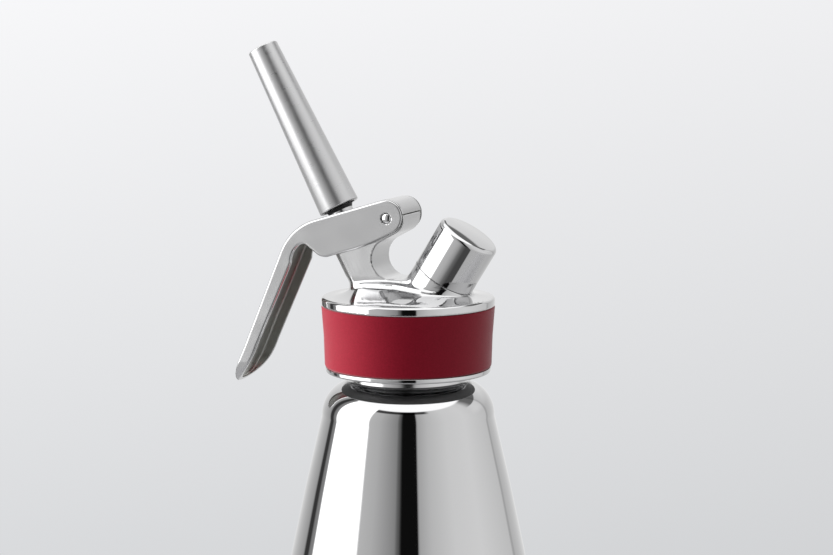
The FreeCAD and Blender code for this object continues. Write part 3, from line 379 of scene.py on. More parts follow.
def shell_run(inset):
    """The shell's side from its foot up to the weld, moved inwards by the inset."""
    return [
        (foot_radius, inset),
        (heel_radius - heel_round, inset),
        (heel_radius - inset, heel_round, heel_round - inset),
        (belly_radius - inset, belly_height),
        (flank_radius - inset, rim_top - flank_drop, belly_arc - inset),
        (shoulder_radius - inset, rim_top - shoulder_drop - inset * 0.5, upper_flank_arc - inset),
        (toe_radius - inset * 0.2, rim_top - toe_drop - inset, shoulder_arc - inset),
        (relief_radius - inset, rim_top - relief_drop - inset * 0.2, -(relief_fillet + inset))]


weld_height = rim_top - relief_drop + 0.7
weld = [(relief_radius, weld_height), (relief_radius - wall, weld_height)]
shell_outline = shell_run(0) + weld + reversed_run(shell_run(wall))


def noise(tree, scale, detail=2.0, **mapping):
    """Cloudy values about 0.5 over the piece's own coordinates, with scale clouds per metre. A mapping is
    the place and turn of the piece's axis and how far the clouds are drawn out along each direction."""
    place = own_place(tree)
    if mapping:
        mapping["Vector"] = place
        place = wire(tree, "Mapping", mapping, vector_type="TEXTURE")
    return wire(tree, "TexNoise", {"Vector": place, "Scale": scale, "Detail": detail})


def own(tree, axis):
    """How far a spot lies along its piece's own axis, in metres."""
    return wire(tree, "SeparateXYZ", {0: own_place(tree)}, axis)


def clouded(tree, scale, low, high, start=0.3, detail=4):
    """A roughness that goes from low to high in clouds."""
    return between(tree, noise(tree, scale, detail), start, 0.7, low, high)


def relief(tree, height, depth, over=None):
    """A bump of that depth in metres, over another bump where one is given."""
    inputs = {"Height": height, "Distance": depth}
    if over is not None:
        inputs["Normal"] = over
    return wire(tree, "Bump", inputs)


def surface(tree, colour, roughness, normal, metal=1.0, **sockets):
    """The surface shader: colour, roughness and normal may come from nodes, the rest is set on it."""
    inputs = {"Roughness": roughness, "Normal": normal, "Metallic": metal, **sockets}
    inputs["Base Color"] = colour if isinstance(colour, bpy.types.NodeSocket) else (*colour, 1)
    wire(tree, "OutputMaterial", {0: wire(tree, "BsdfPrincipled", inputs)})


def polished_steel(name, waves, wave_depth, roughness=0.038):
    """Mirror steel: a faint haze in clouds, and the long shallow waves that the buffing wheel leaves."""
    made, tree = material(name)
    haze = clouded(tree, 90, roughness * 0.75, roughness * 1.3, 0.35)
    surface(tree, steel_colour, haze, relief(tree, noise(tree, waves, 1), wave_depth))
    return made


outer_shell = lathe("bottle_shell", shell_outline, turns=256)
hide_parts("outer_shell")
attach(outer_shell, "bottle")
shell_steel, tree = material("spun_mirror_steel")
dull_from, dull_to, relief_rough = rim_top - toe_drop - 1.2, rim_top - toe_drop - 0.2, 0.17
in_relief = between(tree, own(tree, "Z"), dull_from * MM, dull_to * MM, 0, 1)
shell_rough = mix(tree, in_relief, clouded(tree, 90, 0.028, 0.05, 0.35), relief_rough)
surface(tree, steel_colour, shell_rough, relief(tree, noise(tree, 30, 1), 4e-6))
outer_shell.data.materials.append(shell_steel)

# ------------------------ base plate, getter and inner vessel
# The outer shell is closed by a round plate pressed from sheet. The inner vessel is a second bottle drawn
# from the same sheet, with a vacuum round it, and the getter on the plate keeps that vacuum.


def about(place):
    """The mapping that carries clouds onto an axis at (x, z) that leans by an angle towards +X."""
    x, z, lean = place
    return {"Location": (x * MM, 0, z * MM), "Rotation": (0, lean, 0)}


def turned_steel(name, roughness, groove_depth, place=(0, 0, 0)):
    """Turned steel: fine grooves round the piece's axis, which are noise drawn out far across the axis
    and packed tight along it, over clouds of uneven polish."""
    made, tree = material(name)
    grooves = noise(tree, 60, 3, **about(place), Scale=(6, 6, 0.02))
    rough = clouded(tree, 120, roughness * 0.8, roughness * 1.2)
    surface(tree, steel_colour, rough, relief(tree, grooves, groove_depth))
    return made


def ringed_steel(name, roughness, ring_depth, ring_pitch):
    """Steel faced on a lathe: rings round the upright axis, by the sine of the distance from it."""
    made, tree = material(name)
    flat = wire(tree, "VectorMath", {0: own_place(tree), 1: (1, 1, 0)}, operation="MULTIPLY")
    reach = wire(tree, "VectorMath", {0: flat}, "Value", operation="LENGTH")
    rings = math_node(tree, "SINE", math_node(tree, "MULTIPLY", reach, 2 * math.pi / ring_pitch))
    rough = clouded(tree, 120, roughness * 0.8, roughness * 1.2)
    surface(tree, steel_colour, rough, relief(tree, rings, ring_depth))
    return made


def dress(node_name, made):
    """Gives a CAD node, whose shape is right as it is, its finish."""
    materials = nodes[node_name].data.materials
    materials.clear()
    materials.append(made)


dress("base_plate", ringed_steel("faced_base_steel", 0.22, 6e-6, 0.0016))
dress("inner_vessel", turned_steel("drawn_vessel_steel", 0.2, 5e-6))
getter_metal, tree = material("dark_getter_metal")
getter_colour = ramp(tree, noise(tree, 700, 5), [(0.35, (0.03, 0.03, 0.032)), (0.7, (0.09, 0.085, 0.085))])
surface(tree, getter_colour, 0.6, relief(tree, noise(tree, 1500, 3), 3e-5), 0.8)
dress("vacuum_getter", getter_metal)

# ------------------------ neck ring of the bottle
# A turned ring joins both bottles at the top. It carries the coarse thread for the head, with a pitch of
# 3.2 mm, and a rounded mouth that the gasket seals on.
mouth_radius, mouth_drop, lip_round = 19.8, 10.8, 0.8
thread_root, thread_length, thread_pitch, thread_depth = 23.1, 16.2, 3.2, 0.9
mouth_top = rim_top - mouth_drop
thread_foot = mouth_top - thread_length
tube_top = thread_foot + 2
neck_ring = lathe("threaded_neck_ring", [
    (mouth_radius + wall, weld_height),
    (relief_radius, weld_height),
    (relief_radius, thread_foot),
    (thread_root, thread_foot + 0.8),
    (thread_root, mouth_top - lip_round),
    (thread_root - lip_round, mouth_top, lip_round),
    (mouth_radius + lip_round, mouth_top),
    (mouth_radius, mouth_top - lip_round, lip_round),
    (mouth_radius, tube_top),
    (mouth_radius + wall, tube_top)],
    thread=(thread_root, thread_pitch, thread_depth, 1))
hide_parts("neck_ring")
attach(neck_ring, "bottle")
neck_ring.data.materials.append(turned_steel("turned_neck_steel", 0.12, 3e-6))

# ------------------------ gasket
# A flat ring of soft silicone lies in the head on the bottle's mouth. Its tab is for pulling it out.
gasket_silicone, tree = material("soft_gasket_silicone")
gasket_colour = ramp(tree, noise(tree, 40, 3), [(0.3, (0.42, 0.035, 0.05)), (0.7, (0.50, 0.05, 0.065))])
surface(tree, gasket_colour, 0.42, relief(tree, noise(tree, 2500, 2), 8e-6), 0,
        **{"Subsurface Weight": 0.08, "Subsurface Scale": 0.003, "Specular IOR Level": 0.4})
dress("head_gasket", gasket_silicone)

# ------------------------ threaded skirt
# The steel skirt under the head screws onto the bottle. Its flange is the bright ring under the grip.
disc_drop, skirt_length, skirt_radius, skirt_bore, skirt_chamfer = 3.5, 26.0, 30.0, 24.3, 0.6
flange_radius, flange_thickness, flange_round, flange_edge = 32.5, 1.85, 0.7, 0.3
disc_foot = rim_top - disc_drop
skirt_foot = disc_foot - skirt_length
flange_top = skirt_foot + flange_thickness
skirt = lathe("threaded_steel_skirt", [
    (skirt_bore + skirt_chamfer, skirt_foot),
    (flange_radius - flange_round, skirt_foot),
    (flange_radius, skirt_foot + flange_round, flange_round),
    (flange_radius, flange_top - flange_edge),
    (flange_radius - flange_edge, flange_top, flange_edge),
    (skirt_radius, flange_top),
    (skirt_radius, disc_foot),
    (skirt_bore, disc_foot),
    (skirt_bore, disc_foot - 7),
    (skirt_bore + thread_depth, disc_foot - 8),
    (skirt_bore + thread_depth, skirt_foot + 2),
    (skirt_bore, skirt_foot + 1.5),
    (skirt_bore, skirt_foot + skirt_chamfer)],
    thread=(skirt_bore + thread_depth, thread_pitch, thread_depth, -1))
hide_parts("threaded_skirt")
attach(skirt, "head")
# The flange's underside is rough, and its colour is darkened to near black as painted shade under the
# flange.
skirt_steel, tree = material("mirror_steel_dull_foot_painted_shade")
foot_low, foot_high = skirt_foot + 0.05, skirt_foot + 0.4
foot_rough, painted_foot_shade = 0.5, (0.13, 0.13, 0.13, 1)
on_foot = between(tree, own(tree, "Z"), foot_low * MM, foot_high * MM, 1, 0)
skirt_rough = mix(tree, on_foot, clouded(tree, 90, 0.028, 0.05, 0.35), foot_rough)
skirt_colour = mix_colours(tree, on_foot, (*steel_colour, 1), painted_foot_shade)
surface(tree, skirt_colour, skirt_rough, relief(tree, noise(tree, 60, 1), 2e-6))
skirt.data.materials.append(skirt_steel)

# ------------------------ silicone grip
# A thick sleeve of dark red silicone is stretched over the skirt against the heat. Its side is slightly
# hollow and its skin is matt with a fine speckle from the mould.
grip_foot_radius, grip_top_radius, grip_waist, grip_round, grip_foot_round = 32.7, 33.9, 260.0, 0.6, 1.2
grip = lathe("silicone_grip_sleeve", [
    (skirt_radius, flange_top),
    (grip_foot_radius - grip_foot_round, flange_top),
    (grip_foot_radius, flange_top + grip_foot_round, grip_foot_round),
    (grip_top_radius, disc_foot - grip_round, -grip_waist),
    (grip_top_radius - grip_round, disc_foot, grip_round),
    (skirt_radius, disc_foot)], turns=256)
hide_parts("silicone_grip")
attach(grip, "head")
grip_silicone, tree = material("dark_red_silicone")
grip_colour = ramp(tree, noise(tree, 1800, 3), [
    (0.30, (0.160, 0.0012, 0.0095)), (0.72, (0.205, 0.0025, 0.0145))])
speckle = relief(tree, noise(tree, 5200, 2), 1.4e-5)
surface(tree, grip_colour, clouded(tree, 60, 0.46, 0.56), speckle, 0,
        **{"Specular IOR Level": 0.07, "Sheen Weight": 0.25, "Sheen Roughness": 0.45})
grip.data.materials.append(grip_silicone)

# ------------------------ head casting
# One casting of stainless steel, polished to a mirror: a disc with a plug below, a flared platform with an
# arched top, the leaning neck with its pivot bracket, satin on its cheeks, and the boss of the charger port.
disc_radius, disc_round, disc_foot_round = 34.0, 1.3, 0.6
seat_drop, seat_radius, plug_drop, plug_radius, plug_edge = 8.0, 24.3, 12.0, 17.4, 0.8
crest_rise, crest_end_rise, crest_arch, crest_middle, crest_round = 5.75, 3.4, 70.0, -4.2, 0.3
crest_half_length, crest_half_width, crest_widening, crest_centre = 24.1, 10.9, 2.8, 0.5
crest_blend, widening_start, widening_run = 4, -2.0, 14.0
flare_half_length, flare_half_width, flare_centre, flare_reach = 32.4, 32.4, 2.0, 32.6
valve_tilt = math.radians(28.07)
valve_foot = np.array((-29.46, rim_top + 33.56))
valve_place = (*valve_foot, -valve_tilt)
neck_front, neck_round, neck_half_width, neck_foot_half_width = 9.2, 10.4, 8.5, 8.9
neck_foot_rise, neck_spread_rise, neck_flat_rise, neck_depth = 0.6, 3.1, 8.0, 14.5
neck_edge, nose_edge, neck_fillet, boss_fillet = 0.2, 0.15, 1.8, 1.6
seat_fillet, fine_edge, overlap, head_cell = 0.3, 0.2, 1.0, 0.5
edge_bevel, bevel_depth = math.radians(23.0), 0.16
pocket_radius, spring_bore, guide_radius, chamber_radius = 8.7, 7.2, 4.08, 8.2
spring_bore_depth, valve_seat_depth = 22.0, 47.5
pivot = np.array((-5.0, rim_top + 31.1))
eye_radius, block_radius, ledge_rise = 4.35, 6.7, 1.45
top_slope, back_slope = math.radians(29.0), math.radians(28.7)
window_middle, window_radius = np.array((-3.8, rim_top + 15.0)), 8.0
saddle_end = 4.0
port_tilt = math.radians(32.1)
port_seam = np.array((15.3, rim_top + 8.4))
port_place = (*port_seam, port_tilt)
port_radius, port_root, spot_radius, socket_seat, socket_depth = 12.3, 11.0, 12.8, 10.0, 6.0
up_valve = np.array((-math.sin(valve_tilt), math.cos(valve_tilt)))
over_valve = np.array((math.cos(valve_tilt), math.sin(valve_tilt)))
up_port = np.array((math.sin(port_tilt), math.cos(port_tilt)))
over_port = np.array((math.cos(port_tilt), -math.sin(port_tilt)))


def lean(origin, up, over, x, z):
    """Height along a leaning axis and distance across it, for points in the middle plane's x and z."""
    return ((x - origin[0]) * up[0] + (z - origin[1]) * up[1],
            (x - origin[0]) * over[0] + (z - origin[1]) * over[1])


front_top = valve_foot - neck_depth * up_valve - neck_front * over_valve
front_foot = front_top + up_valve * ((rim_top + neck_foot_rise - front_top[1]) / up_valve[1])
slope_up = np.array((math.sin(top_slope), -math.cos(top_slope)))
eye_top = pivot - eye_radius * slope_up
pocket_foot = valve_foot - neck_depth * up_valve + pocket_radius * over_valve
along_top = np.array((math.cos(top_slope), math.sin(top_slope)))
lift = np.linalg.solve(np.stack([up_valve, along_top], 1), eye_top - pocket_foot)[0]
back = np.array((math.sin(back_slope), -math.cos(back_slope)))
neck_outline = [
    tuple(front_foot),
    (saddle_end, rim_top + neck_foot_rise),
    (saddle_end, window_middle[1] - window_radius),
    (window_middle[0], window_middle[1] - window_radius),
    (window_middle[0] - window_radius, window_middle[1], -window_radius),
    tuple(window_middle - window_radius * back) + (-window_radius,),
    tuple(pivot + block_radius * back),
    (pivot[0] + math.sqrt(block_radius ** 2 - ledge_rise ** 2), pivot[1] + ledge_rise, block_radius),
    (pivot[0] + math.sqrt(eye_radius ** 2 - ledge_rise ** 2), pivot[1] + ledge_rise),
    tuple(eye_top) + (eye_radius,),
    tuple(pocket_foot + lift * up_valve),
    tuple(pocket_foot),
    tuple(front_top)]


def outline_distance(path, u, v):
    """How far points lie outside a closed outline of straight steps (x, y) and arcs (x, y, radius):
    the least distance to any run, negative where a level ray to the right crosses the outline an odd
    number of times."""
    least = np.full(np.broadcast(u, v).shape, np.inf)
    inside = np.zeros(least.shape, bool)
    for start, end, arc in run_of(path):
        if arc is None:
            along = end - start
            share = np.clip(((u - start[0]) * along[0] + (v - start[1]) * along[1]) / (along @ along), 0, 1)
            gap = np.hypot(u - start[0] - share * along[0], v - start[1] - share * along[1])
            slope = along[0] / (along[1] if along[1] else 1e-9)
            inside ^= ((start[1] > v) != (end[1] > v)) & (u < start[0] + (v - start[1]) * slope)
        else:
            centre, radius, first, sweep, side = arc
            turned = ((np.arctan2(v - centre[1], u - centre[0]) - first) * side) % (2 * math.pi)
            ends = np.minimum(np.hypot(u - start[0], v - start[1]), np.hypot(u - end[0], v - end[1]))
            gap = np.where(turned <= sweep, abs(np.hypot(u - centre[0], v - centre[1]) - radius), ends)
            reach = np.sqrt(np.maximum(radius ** 2 - (v - centre[1]) ** 2, 0))
            for way in (-1, 1):
                turned = ((np.arctan2(v - centre[1], way * reach) - first) * side) % (2 * math.pi)
                inside ^= (abs(v - centre[1]) < radius) & (turned <= sweep) & (u < centre[0] + way * reach)
        least = np.minimum(least, gap)
    return np.where(inside, -least, least)


def both(a, b, edge):
    """Where two shapes overlap, with a round of that radius along their common edge."""
    return np.minimum(-edge, np.maximum(a, b)) + np.hypot(np.maximum(a + edge, 0), np.maximum(b + edge, 0))


def either(a, b, fillet):
    """Two shapes joined, with a fillet of that radius in the corner between them."""
    return -both(-a, -b, fillet)


def cast_skin(name, field, low, high, cell):
    """A closed skin on the zero level of a field over x, y and z, which is positive all round the box from
    low to high: surface nets on a grid of cells, then each corner is moved down the field's slope onto the
    level in four rounds. The slope there gives its normal."""
    counts = [int(math.ceil((high[i] - low[i]) / cell)) + 1 for i in range(3)]
    axes = [low[i] + cell * np.arange(counts[i]) for i in range(3)]
    values = field(axes[0][:, None, None], axes[1][None, :, None], axes[2][None, None, :])
    solid = values < 0
    cells = tuple(n - 1 for n in counts)
    unit = np.eye(3, dtype=int)
    total = np.zeros(cells + (3,))
    hits = np.zeros(cells)
    for start in np.ndindex(2, 2, 2):
        for axis in range(3):
            if start[axis]:
                continue
            a, b = (values[tuple(slice(k, k + n) for k, n in zip(corner, cells))]
                    for corner in (start, start + unit[axis]))
            crossed = (a < 0) != (b < 0)
            share = np.where(crossed, a / np.where(crossed, a - b, 1), 0)
            total += crossed[..., None] * (start + share[..., None] * unit[axis])
            hits += crossed
    used = hits > 0
    number = np.full(cells, -1)
    number[used] = np.arange(used.sum())
    points = np.array(low) + (np.stack(np.nonzero(used), -1) + total[used] / hits[used][:, None]) * cell
    faces = []
    for axis in range(3):
        b, c = unit[axis - 2], unit[axis - 1]
        inner, outer = (solid.take(range(k, k + cells[axis]), axis) for k in (0, 1))
        place = np.stack(np.nonzero(inner != outer), -1)
        ring = np.stack([number[tuple((place - back).T)] for back in (b + c, c, 0 * c, b)], -1)
        faces.append(np.where(inner[tuple(place.T)][:, None], ring, ring[:, ::-1]))
    faces = np.concatenate(faces)

    def slope(points, reach=0.02):
        pairs = [(field(*(points + step).T), field(*(points - step).T)) for step in unit * reach]
        return np.stack([(ahead - behind) / (2 * reach) for ahead, behind in pairs], -1)

    for _ in range(4):
        down = slope(points)
        move = field(*points.T)[:, None] * down / np.maximum((down ** 2).sum(1), 0.2)[:, None]
        length = np.linalg.norm(move, axis=1)
        points -= move * np.minimum(1, 0.4 * cell / np.maximum(length, 1e-9))[:, None]
    normals = slope(points)
    normals /= np.maximum(np.linalg.norm(normals, axis=1), 1e-9)[:, None]
    piece = mesh_piece(name, points * MM, faces)
    piece.data.normals_split_custom_set_from_vertices(normals)
    return piece


def head_field(x, y, z):
    """The casting: disc, plug, flared platform, neck and boss joined with fillets, less their bores."""
    across = np.hypot(x, y)
    above_rim = z - rim_top

    def drum(radius, low, high, edge):
        return both(across - radius, np.maximum(low - above_rim, above_rim - high), edge)

    disc = both(across - disc_radius, above_rim, disc_round)
    disc = both(disc, -disc_drop - above_rim, disc_foot_round)
    seat = drum(seat_radius, -seat_drop, -overlap, fine_edge)
    plug = either(seat, drum(plug_radius, -plug_drop, -overlap, plug_edge), seat_fillet)

    # The crest's height is an arc over x, level at both ends, and it is wider at the boss. Round it, the
    # flare is a quarter of an oval: share is 0 on the crest's outline and 1 on the foot's, by halving steps.
    arch = np.sqrt(np.maximum(crest_arch ** 2 - (x - crest_middle) ** 2, 0)) - crest_arch + crest_rise
    crest = np.log(np.exp(crest_blend * (arch - crest_end_rise)) + 1) / crest_blend + crest_end_rise
    half_width = crest_half_width + crest_widening * np.clip((x - widening_start) / widening_run, 0, 1)
    share, step = np.full(np.broadcast(x, y).shape, 0.25), 0.375
    wide, long = flare_half_width - half_width, flare_half_length - crest_half_length
    for _ in range(15):
        middle = crest_centre + (flare_centre - crest_centre) * share
        run = abs(x - middle) / (crest_half_length + long * share)
        level = run ** (4 - 2 * share) + (abs(y) / (half_width + wide * share)) ** 2
        share = share + np.where(level > 1, step, -step)
        step = step / 2
    heading = np.arctan2(y, x - crest_centre)
    span = np.hypot(long * np.cos(heading), wide * np.sin(heading))
    out = 1 - share
    drop = np.maximum(crest - above_rim, 0) / crest
    round_off = np.sqrt(out ** 2 + drop ** 2 + 1e-9)
    steep = np.hypot(out / round_off / span, drop / round_off / crest)
    flare = (1 - round_off) / np.maximum(steep, 0.05)
    platform = both(flare, above_rim - crest, crest_round)
    platform = np.maximum(platform, np.maximum(across - flare_reach, -overlap - above_rim))

    height, off_axis = lean(valve_foot, up_valve, over_valve, x, z)
    side = outline_distance(neck_outline, x, z)
    spread = np.clip((neck_flat_rise - above_rim) / (neck_flat_rise - neck_spread_rise), 0, 1) ** 2
    cheeks = abs(y) - neck_half_width - (neck_foot_half_width - neck_half_width) * spread
    middle = neck_round - neck_front
    nose = np.where(off_axis < middle, np.hypot(off_axis - middle, y), abs(y)) - neck_round
    neck = both(both(side, cheeks, neck_edge), nose, nose_edge)
    bevel = cheeks * math.cos(edge_bevel) + side * math.sin(edge_bevel) + bevel_depth
    neck = np.where(off_axis > 0, np.maximum(neck, bevel), neck)

    rise, off_port = lean(port_seam, up_port, over_port, x, z)
    from_port = np.hypot(off_port, y)
    boss = both(from_port - port_radius, np.maximum(rise, -port_root - rise), fine_edge)

    casting = either(np.minimum(disc, platform), either(neck, boss, boss_fillet), neck_fillet)
    casting = either(casting, plug, fine_edge)

    from_valve = np.hypot(off_axis, y)
    bores = from_valve - guide_radius
    for reach, end in ((from_valve - pocket_radius, -neck_depth - height),
                       (from_valve - spring_bore, -spring_bore_depth - height),
                       (from_valve - chamber_radius, height + valve_seat_depth),
                       (from_port - spot_radius, -rise),
                       (from_port - socket_seat, -socket_depth - rise)):
        bores = np.minimum(bores, np.maximum(reach, end))
    return both(casting, -bores, fine_edge)


head_casting = cast_skin("head_casting", head_field, (-34.8, -34.8, rim_top - 12.8),
                         (34.8, 34.8, rim_top + 38.6), head_cell)
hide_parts("head_body")
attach(head_casting, "head")

# The neck's cheeks are brushed to a satin above the platform, and the nose before the valve is rougher, with
# its colour darkened as painted shade on the neck's rounded front.
# The disc, the flare and the boss are mirrors.
satin_low, satin_high, satin_end, mirror_start = rim_top + 6.3, rim_top + 8.2, 2.5, 5.0
nose_at, nose_blend = float(over_valve @ valve_foot) - 4.2, 0.4
nose_rough, nose_painted_shade = 0.42, (0.46, 0.46, 0.46, 1)
head_steel, tree = material("cast_mirror_and_satin_steel")
over_platform = between(tree, own(tree, "Z"), satin_low * MM, satin_high * MM, 0, 1)
before_boss = between(tree, own(tree, "X"), satin_end * MM, mirror_start * MM, 1, 0)
satin_share = math_node(tree, "MULTIPLY", over_platform, before_boss)
head_rough = mix(tree, satin_share, clouded(tree, 120, 0.03, 0.055, 0.35), clouded(tree, 150, 0.17, 0.26))
out_front = (over_valve[0], 0, over_valve[1])
from_front = wire(tree, "VectorMath", {0: own_place(tree), 1: out_front}, "Value", operation="DOT_PRODUCT")
before_valve = between(tree, from_front, (nose_at - nose_blend) * MM, (nose_at + nose_blend) * MM, 1, 0)
on_nose = math_node(tree, "MULTIPLY", over_platform, before_valve)
head_rough = mix(tree, on_nose, head_rough, nose_rough)
# The darker colour on the nose is painted shade.
head_colour = mix_colours(tree, on_nose, (*steel_colour, 1), nose_painted_shade)
waves = relief(tree, noise(tree, 110, 1), 9e-6)
brushing = noise(tree, 260, 4, Rotation=(0, -valve_tilt, 0), Scale=(0.25, 1, 2.5))
scratches = relief(tree, math_node(tree, "MULTIPLY", brushing, satin_share), 1.2e-5, waves)
surface(tree, head_colour, head_rough, scratches)
head_casting.data.materials.append(head_steel)

# ------------------------ lever pin
# A steel pin held in the bracket: the lever's cheeks turn on it. Its low domed ends show in the cheeks.
pin_radius, pin_end, dome_height = 1.8, 10.75, 0.6
dome_foot = pin_end - dome_height
dome_arc = (pin_radius ** 2 + dome_height ** 2) / (2 * dome_height)
pin = lathe("lever_pin_steel", [
    (0, -pin_end),
    (pin_radius, -dome_foot, dome_arc),
    (pin_radius, dome_foot),
    (0, pin_end, dome_arc)], (pivot[0], pivot[1], None), 64)
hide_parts("lever_pin")
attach(pin, "head")
pin.data.materials.append(polished_steel("pin_mirror_steel", 400, 1e-6))

# ------------------------ charger socket, needle and its seal
# The socket is turned from bar and screwed into the boss. Its fine outer thread takes the cap, and a gas
# charger's neck goes into its bore, onto the hollow needle and the rubber seal at its foot.
socket_top, socket_floor, socket_lip, charger_bore, needle_radius = 14.0, -4.2, 0.8, 4.7, 1.2
cap_thread_pitch, cap_thread_depth = 1.5, 0.6
socket = lathe("charger_socket_steel", [
    (needle_radius, -socket_depth),
    (socket_seat, -socket_depth),
    (socket_seat, 0.2),
    (socket_seat - cap_thread_depth, 0.8),
    (socket_seat - cap_thread_depth, socket_top - socket_lip),
    (socket_seat - cap_thread_depth - socket_lip, socket_top),
    (charger_bore + socket_lip, socket_top),
    (charger_bore, socket_top - socket_lip),
    (charger_bore, socket_floor),
    (needle_radius, socket_floor)], port_place, 144,
    thread=(socket_seat - cap_thread_depth, cap_thread_pitch, cap_thread_depth, 1))
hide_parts("charger_socket")
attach(socket, "head")
socket.data.materials.append(turned_steel("turned_socket_steel", 0.2, 3e-6, port_place))
dress("piercing_needle", turned_steel("ground_needle_steel", 0.14, 1e-6, port_place))


def black_rubber(name, roughness):
    """Moulded rubber: near black, with a fine grain and a grey bloom in clouds."""
    made, tree = material(name)
    bloom = ramp(tree, noise(tree, 300, 4), [(0.35, (0.010, 0.010, 0.011)), (0.75, (0.020, 0.020, 0.021))])
    surface(tree, bloom, roughness, relief(tree, noise(tree, 4000, 2), 8e-6), 0)
    return made


dress("charger_seal", black_rubber("charger_seal_rubber", 0.5))

# ------------------------ check valve and its retainer
# A rubber disc under the gas channel lets the gas into the bottle and not back. A turned brass plug with a
# hole through it holds the disc in the head.
dress("check_valve", black_rubber("check_valve_rubber", 0.55))
plug_brass, tree = material("turned_brass")
brass_colour = ramp(tree, noise(tree, 200, 4), [(0.3, (0.62, 0.44, 0.16)), (0.7, (0.72, 0.53, 0.22))])
surface(tree, brass_colour, 0.26, relief(tree, noise(tree, 60, 3, Scale=(6, 6, 0.02)), 4e-6))
dress("check_valve_retainer", plug_brass)

# ------------------------ O-ring and spring washer
# The O-ring seals the valve's stem in the neck. The pressed steel washer over it carries the spring.
dress("stem_o_ring", black_rubber("o_ring_rubber", 0.38))
dress("spring_washer", turned_steel("pressed_washer_steel", 0.24, 3e-6, valve_place))

# ------------------------ lever
# The lever is cast steel: a channel with two cheeks on the pin, a tail that wraps over the bracket's eye and
# a long arm that thins to a round tip. Its edges are rounded, its outside is satin, and its inside is rough
# with its colour darkened as painted shade. A black painted shadow lies in the groove round the tail.
lever_half_width, lever_wall, lever_edge, tip_wall = 10.45, 1.6, 0.9, 0.5
tail_radius, tail_rise, lever_slope = 6.75, 0.55, math.radians(16.9)
lever_reach, elbow_radius, edge_run, least_edge = 41.3, 23.0, 14.0, 0.3
arm_angle, arm_length, arm_depth, arm_depth_top = math.radians(22.8), 70.0, 5.1, 6.1
arm_taper, arm_taper_arc, notch_distance, notch_radius = 20.0, 36.0, 13.0, 8.6
cheek_slope, cheek_curve = math.radians(27.0), 95.0
split_rise, past = 1.75, 30.0
hole_radius, countersink_radius, countersink_depth = 2.0, 2.2, 0.2
groove_outer, groove_inner, groove_depth, groove_spread = 9.72, 9.08, 0.4, 0.4
groove_foot, groove_start, groove_run, groove_blend = 2.5, 1.5, 2.0, 0.08
web_hole_radius, web_hole_stretch, web_hole_depth = 6.7, 2.3, 8.6
cam_radius, cam_reach, cam_depth, cam_fillet = 2.0, 2.1, 4.5, 0.3
channel_round, web_edge, hole_edge, lever_cell = 0.8, 0.2, 0.15, 0.4
inside_start, inside_run = 0.25, 0.2


def from_pivot(along, across, slope, rise=0.0):
    """A corner set out from rise above the pivot: along runs down a slope towards -X, across above it."""
    return (pivot[0] - along * math.cos(slope) - across * math.sin(slope),
            pivot[1] + rise - along * math.sin(slope) + across * math.cos(slope))


half_turn = (math.pi / 2 - arm_angle - lever_slope) / 2
elbow_run = math.tan(half_turn) * elbow_radius
elbow = from_pivot(lever_reach, tail_radius, lever_slope, tail_rise)


def on_arm(along, depth):
    """A corner set out from the elbow: along runs down the arm, depth towards the bottle."""
    return (elbow[0] - along * math.sin(arm_angle) + depth * math.cos(arm_angle),
            elbow[1] - along * math.cos(arm_angle) - depth * math.sin(arm_angle))


def off_pivot(x, drop):
    """A corner set out towards -X and down from the pivot."""
    return (pivot[0] - x, pivot[1] - drop)


inner_radius = tail_radius - lever_wall
lever_outline = [
    from_pivot(0, tail_radius, lever_slope, tail_rise) + (tail_radius,),
    from_pivot(lever_reach - elbow_run, tail_radius, lever_slope, tail_rise),
    on_arm(elbow_run, 0) + (elbow_radius,),
    on_arm(arm_length, 0),
    on_arm(arm_length - arm_taper, arm_depth) + (arm_taper_arc,),
    on_arm(notch_distance, arm_depth_top),
    off_pivot(37.4, 12.1) + (-notch_radius,),
    off_pivot(33.4, 12.7) + (-3.2,),
    off_pivot(30.6, 14.6),
    off_pivot(25.4, 16.25) + (6.2,),
    off_pivot(13.0, 12.5),
    (pivot[0] + tail_radius * math.sin(cheek_slope),
     pivot[1] + tail_rise - tail_radius * math.cos(cheek_slope), cheek_curve)]
hollow_outline = [
    from_pivot(0, inner_radius, lever_slope, tail_rise) + (inner_radius,),
    from_pivot(lever_reach - elbow_run, inner_radius, lever_slope, tail_rise),
    on_arm(elbow_run, lever_wall) + (elbow_radius - lever_wall,),
    on_arm(arm_length, tip_wall),
    on_arm(arm_length + past, tip_wall),
    on_arm(arm_length + past, past),
    (pivot[0] + past, pivot[1] - past),
    (pivot[0] + past, pivot[1] + split_rise),
    (pivot[0] + math.sqrt(inner_radius ** 2 - (split_rise - tail_rise) ** 2), pivot[1] + split_rise)]
tip_middle = on_arm(arm_length, 0)[1] + lever_half_width
cam_middle = valve_foot - cam_depth * up_valve


def strip(y, z, half_width):
    """Seen from the front the lever is a strip with a half-round end: how far a point lies outside it."""
    return np.where(z > tip_middle, abs(y), np.hypot(y, z - tip_middle)) - half_width


def hollow_field(x, y, z):
    """The channel: its side outline and a narrower strip, with rounded inner corners."""
    side = outline_distance(hollow_outline, x, z)
    return both(side, strip(y, z, lever_half_width - lever_wall), channel_round)


